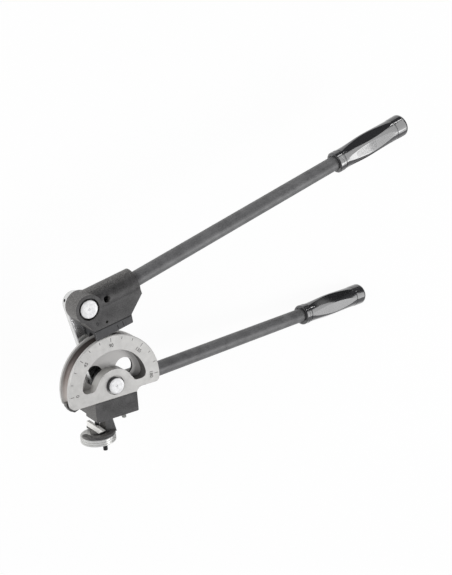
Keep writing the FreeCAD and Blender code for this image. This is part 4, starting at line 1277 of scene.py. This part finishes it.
# Clamp bracket: a dark casting whose arm comes down from the lug. Its thin foot curls round the clamp screw
# and is open to the back left. A long zinc-plated screw comes up through its arm and the lug.
CLAMP_X = -23.5
CLAMP_PLACE = Matrix.Translation((CLAMP_X * MM, 0.0, BEND_Z)) @ UPWARD
BRACKET_FOOT = -58.6
BRACKET_TOP = -55.8
BRACKET_R = 21.5
BAND_INNER_R = 14.5
BRACKET_HUB_R = 9.0
BAND_FROM_DEG = 186.0
BAND_TO_DEG = 460.0
FILLED_FROM_DEG = 325.0
ARM_OUTLINE = ((6.5, -41.02), (6.5, BRACKET_FOOT), (20.3, BRACKET_FOOT), (16.5, -41.02))
ARM_REAR = -5.0
ARM_FRONT = 10.5
BRACKET_WEB_INNER_R = 2.0
BRACKET_EDGE = 0.4
SPIN_STEP_DEG = 3.75
CLAMP_BORE_R = 2.8
BRACKET_SCREW_X = -14.0
LONG_HEAD_R = 4.2
LONG_HEAD_TOP = -55.1
LONG_SHANK_R = 2.75
LONG_SIDES = 32
LONG_SCREW = (
    (BRACKET_FOOT, 3.7), (-58.3, LONG_HEAD_R), (-55.4, LONG_HEAD_R), (LONG_HEAD_TOP, 3.9),
    (LONG_HEAD_TOP, LONG_SHANK_R), (-6.6, LONG_SHANK_R), (-6.3, 2.4),
)


def spun_plate(name, inner, outer, low, high, from_deg, to_deg):
    """A piece of a ring about Z: a small upright face is spun round."""
    piece = added(bpy.ops.mesh.primitive_plane_add, name, size=1.0, rotation=(math.radians(90), 0.0, 0.0))
    bpy.ops.object.transform_apply(location=False, rotation=True, scale=False)
    edit_all()
    bpy.ops.transform.resize(value=((outer - inner) * MM, 1.0, (high - low) * MM))
    bpy.ops.transform.translate(value=((outer + inner) / 2 * MM, 0.0, (high + low) / 2 * MM))
    turn = to_deg - from_deg
    steps = int(turn / SPIN_STEP_DEG)
    bpy.ops.mesh.spin(steps=steps, angle=-math.radians(turn), center=(0.0, 0.0, 0.0), axis=(0.0, 0.0, 1.0))
    bpy.ops.mesh.select_all(action="SELECT")
    bpy.ops.mesh.remove_doubles(threshold=0.001 * MM)
    faced_out()
    mid = math.radians((from_deg + to_deg) / 2)
    middle = sum((v.co for v in piece.data.vertices), Vector()) / len(piece.data.vertices)
    return moved(piece, Matrix.Rotation(mid - math.atan2(middle.y, middle.x), 4, "Z"))


def shaped_bracket():
    """The foot's band, web, hub and rounded tip with the arm over them, bored for both screws."""
    low, high = BRACKET_FOOT, BRACKET_TOP
    bracket = spun_plate("bracket_band", BAND_INNER_R, BRACKET_R, low, high, BAND_FROM_DEG, BAND_TO_DEG)
    web = (BRACKET_WEB_INNER_R, BAND_INNER_R + PAST)
    weld(bracket, spun_plate("bracket_web", *web, low, high, FILLED_FROM_DEG, BAND_TO_DEG))
    weld(bracket, rod("bracket_hub", BRACKET_HUB_R, low, high))
    tip = math.radians(BAND_FROM_DEG)
    middle = (BAND_INNER_R + BRACKET_R) / 2
    at = (middle * math.cos(tip), middle * math.sin(tip))
    weld(bracket, rod("band_tip", (BRACKET_R - BAND_INNER_R) / 2, low, high, at))
    arm = prism("bracket_arm", ARM_OUTLINE, ARM_REAR, ARM_FRONT)
    weld(bracket, moved(arm, Matrix.Rotation(math.radians(90), 4, "X")))
    cut(bracket, rod("screw_bore", CLAMP_BORE_R, low - PAST, high + PAST))
    at = (BRACKET_SCREW_X - CLAMP_X, 0.0)
    cut(bracket, rod("long_screw_head", LONG_HEAD_R + PIN_GAP, low - PAST, LONG_HEAD_TOP, at))
    cut(bracket, rod("long_screw_bore", LONG_SHANK_R + PIN_GAP, -56.0, -40.0, at))
    return moved(bracket, CLAMP_PLACE)


bracket = shaped_bracket()
softened(bracket, BRACKET_EDGE * MM, "frame", "dark_casting", dark_cast, highlit_worn_cast, "clamp_bracket")
long_screw = turned("bracket_screw_turned", LONG_SCREW, LONG_SIDES)
long_screw.data.materials.append(zinc_steel)
long_place = Matrix.Translation((BRACKET_SCREW_X * MM, 0.0, BEND_Z)) @ UPWARD
seat(long_screw, long_place, "frame", "zinc_steel", "bracket_screw")


# Clamp knob: turned and zinc plated, with three knurled bands between two grooves. It turns with its black
# screw, which carries the jaw, and has a black peg in its foot for a finger.
KNOB_FOOT = -68.3
KNOB_R = 21.5
KNOB_STEPS = (
    (0.0, 17.5), (0.25, 17.8), (0.25, 18.2), (0.0, 18.5), (0.0, 20.7), (0.7, KNOB_R), (2.0, KNOB_R),
    (2.5, 20.6), (3.2, 20.6), (3.7, KNOB_R), (4.9, KNOB_R), (5.4, 20.6), (6.1, 20.6), (6.6, KNOB_R),
    (7.9, KNOB_R), (8.6, 20.7), (8.6, 7.0), (9.3, 7.0), (9.4, 6.7),
)
KNURLS = 96
KNURL_DEPTH = 0.985
PEG_STEPS = ((-79.4, 1.9), (-79.1, 2.5), (-78.5, 2.75), (-65.3, 2.75))
PEG_AT = (3.5, -9.0)
PEG_SIDES = 32
CLAMP_SCREW_FOOT = -65.4
CLAMP_SCREW_TOP = -41.5
CLAMP_SCREW_R = 2.5
CLAMP_THREAD_TO = -42.5

knob_steps = [(KNOB_FOOT + rise, radius) for rise, radius in KNOB_STEPS]
knob = turned("clamp_knob_knurled", knob_steps, KNURLS * 2)
bpy.ops.object.mode_set(mode="EDIT")
bpy.ops.mesh.select_all(action="DESELECT")
bpy.ops.object.mode_set(mode="OBJECT")
for vertex in knob.data.vertices:
    at_rim = math.hypot(vertex.co.x, vertex.co.y) > (KNOB_R - 0.05) * MM
    tooth = round(math.atan2(vertex.co.y, vertex.co.x) / math.pi * KNURLS)
    vertex.select = at_rim and tooth % 2 == 0
bpy.ops.object.mode_set(mode="EDIT")
bpy.ops.transform.resize(value=(KNURL_DEPTH, KNURL_DEPTH, 1.0), center_override=(0.0, 0.0, 0.0))
bpy.ops.object.mode_set(mode="OBJECT")
knob.data.materials.append(zinc_steel)
seat(knob, CLAMP_PLACE, "knob", "zinc_steel", "clamp_knob")
peg = turned("knob_peg_turned", PEG_STEPS, PEG_SIDES)
peg.data.materials.append(black_steel)
peg_place = CLAMP_PLACE @ Matrix.Translation((PEG_AT[0] * MM, PEG_AT[1] * MM, 0.0))
seat(peg, peg_place, "knob", "black_steel", "knob_peg")
clamp_screw = threaded(
    "clamp_screw_cut", CLAMP_SCREW_FOOT, CLAMP_SCREW_TOP, CLAMP_SCREW_R, CLAMP_THREAD_TO, black_steel
)
seat(clamp_screw, CLAMP_PLACE, "knob", "black_steel", "clamp_screw")


# Clamp jaw: a zinc-plated blade on edge with a slanted nose, on a low nut that rides on the clamp screw.
# It is cut and drilled from one bar.
JAW_FOOT = -55.4
JAW_TOP = -48.3
JAW_OUTLINE = ((-21.4, JAW_TOP), (-10.0, JAW_FOOT), (19.0, JAW_FOOT), (19.0, JAW_TOP))
JAW_DULL = (0.74, 0.73, 0.70, 1.0)
JAW_BRIGHT = (0.88, 0.87, 0.84, 1.0)
JAW_LEFT = -3.75
JAW_BLADE = 3.8
NUT_HALF_DEPTH = 5.0
NUT_TOP = -51.0
NUT_OUTLINE = oblong((JAW_LEFT, -JAW_LEFT), (-NUT_HALF_DEPTH, NUT_HALF_DEPTH))
JAW_BORE_R = 2.55
JAW_EDGE = 0.35
ACROSS = Matrix(((0, 0, 1, 0), (1, 0, 0, 0), (0, 1, 0, 0), (0, 0, 0, 1)))

blade = prism("clamp_jaw_blade", JAW_OUTLINE, JAW_LEFT, JAW_LEFT + JAW_BLADE)
moved(blade, ACROSS)
weld(blade, prism("jaw_nut", NUT_OUTLINE, JAW_FOOT, NUT_TOP))
cut(blade, rod("jaw_bore", JAW_BORE_R, JAW_FOOT - PAST, JAW_TOP + PAST))
jaw_zinc = skinned(
    "jaw_zinc", JAW_DULL, JAW_BRIGHT, metallic=0.15, grain=1500.0, flow=120.0,
    depth=0.06 * MM, rough=(0.35, 0.5),
)
softened(moved(blade, CLAMP_PLACE), JAW_EDGE * MM, "jaw", "zinc_steel", jaw_zinc, bright_rim, "clamp_jaw")
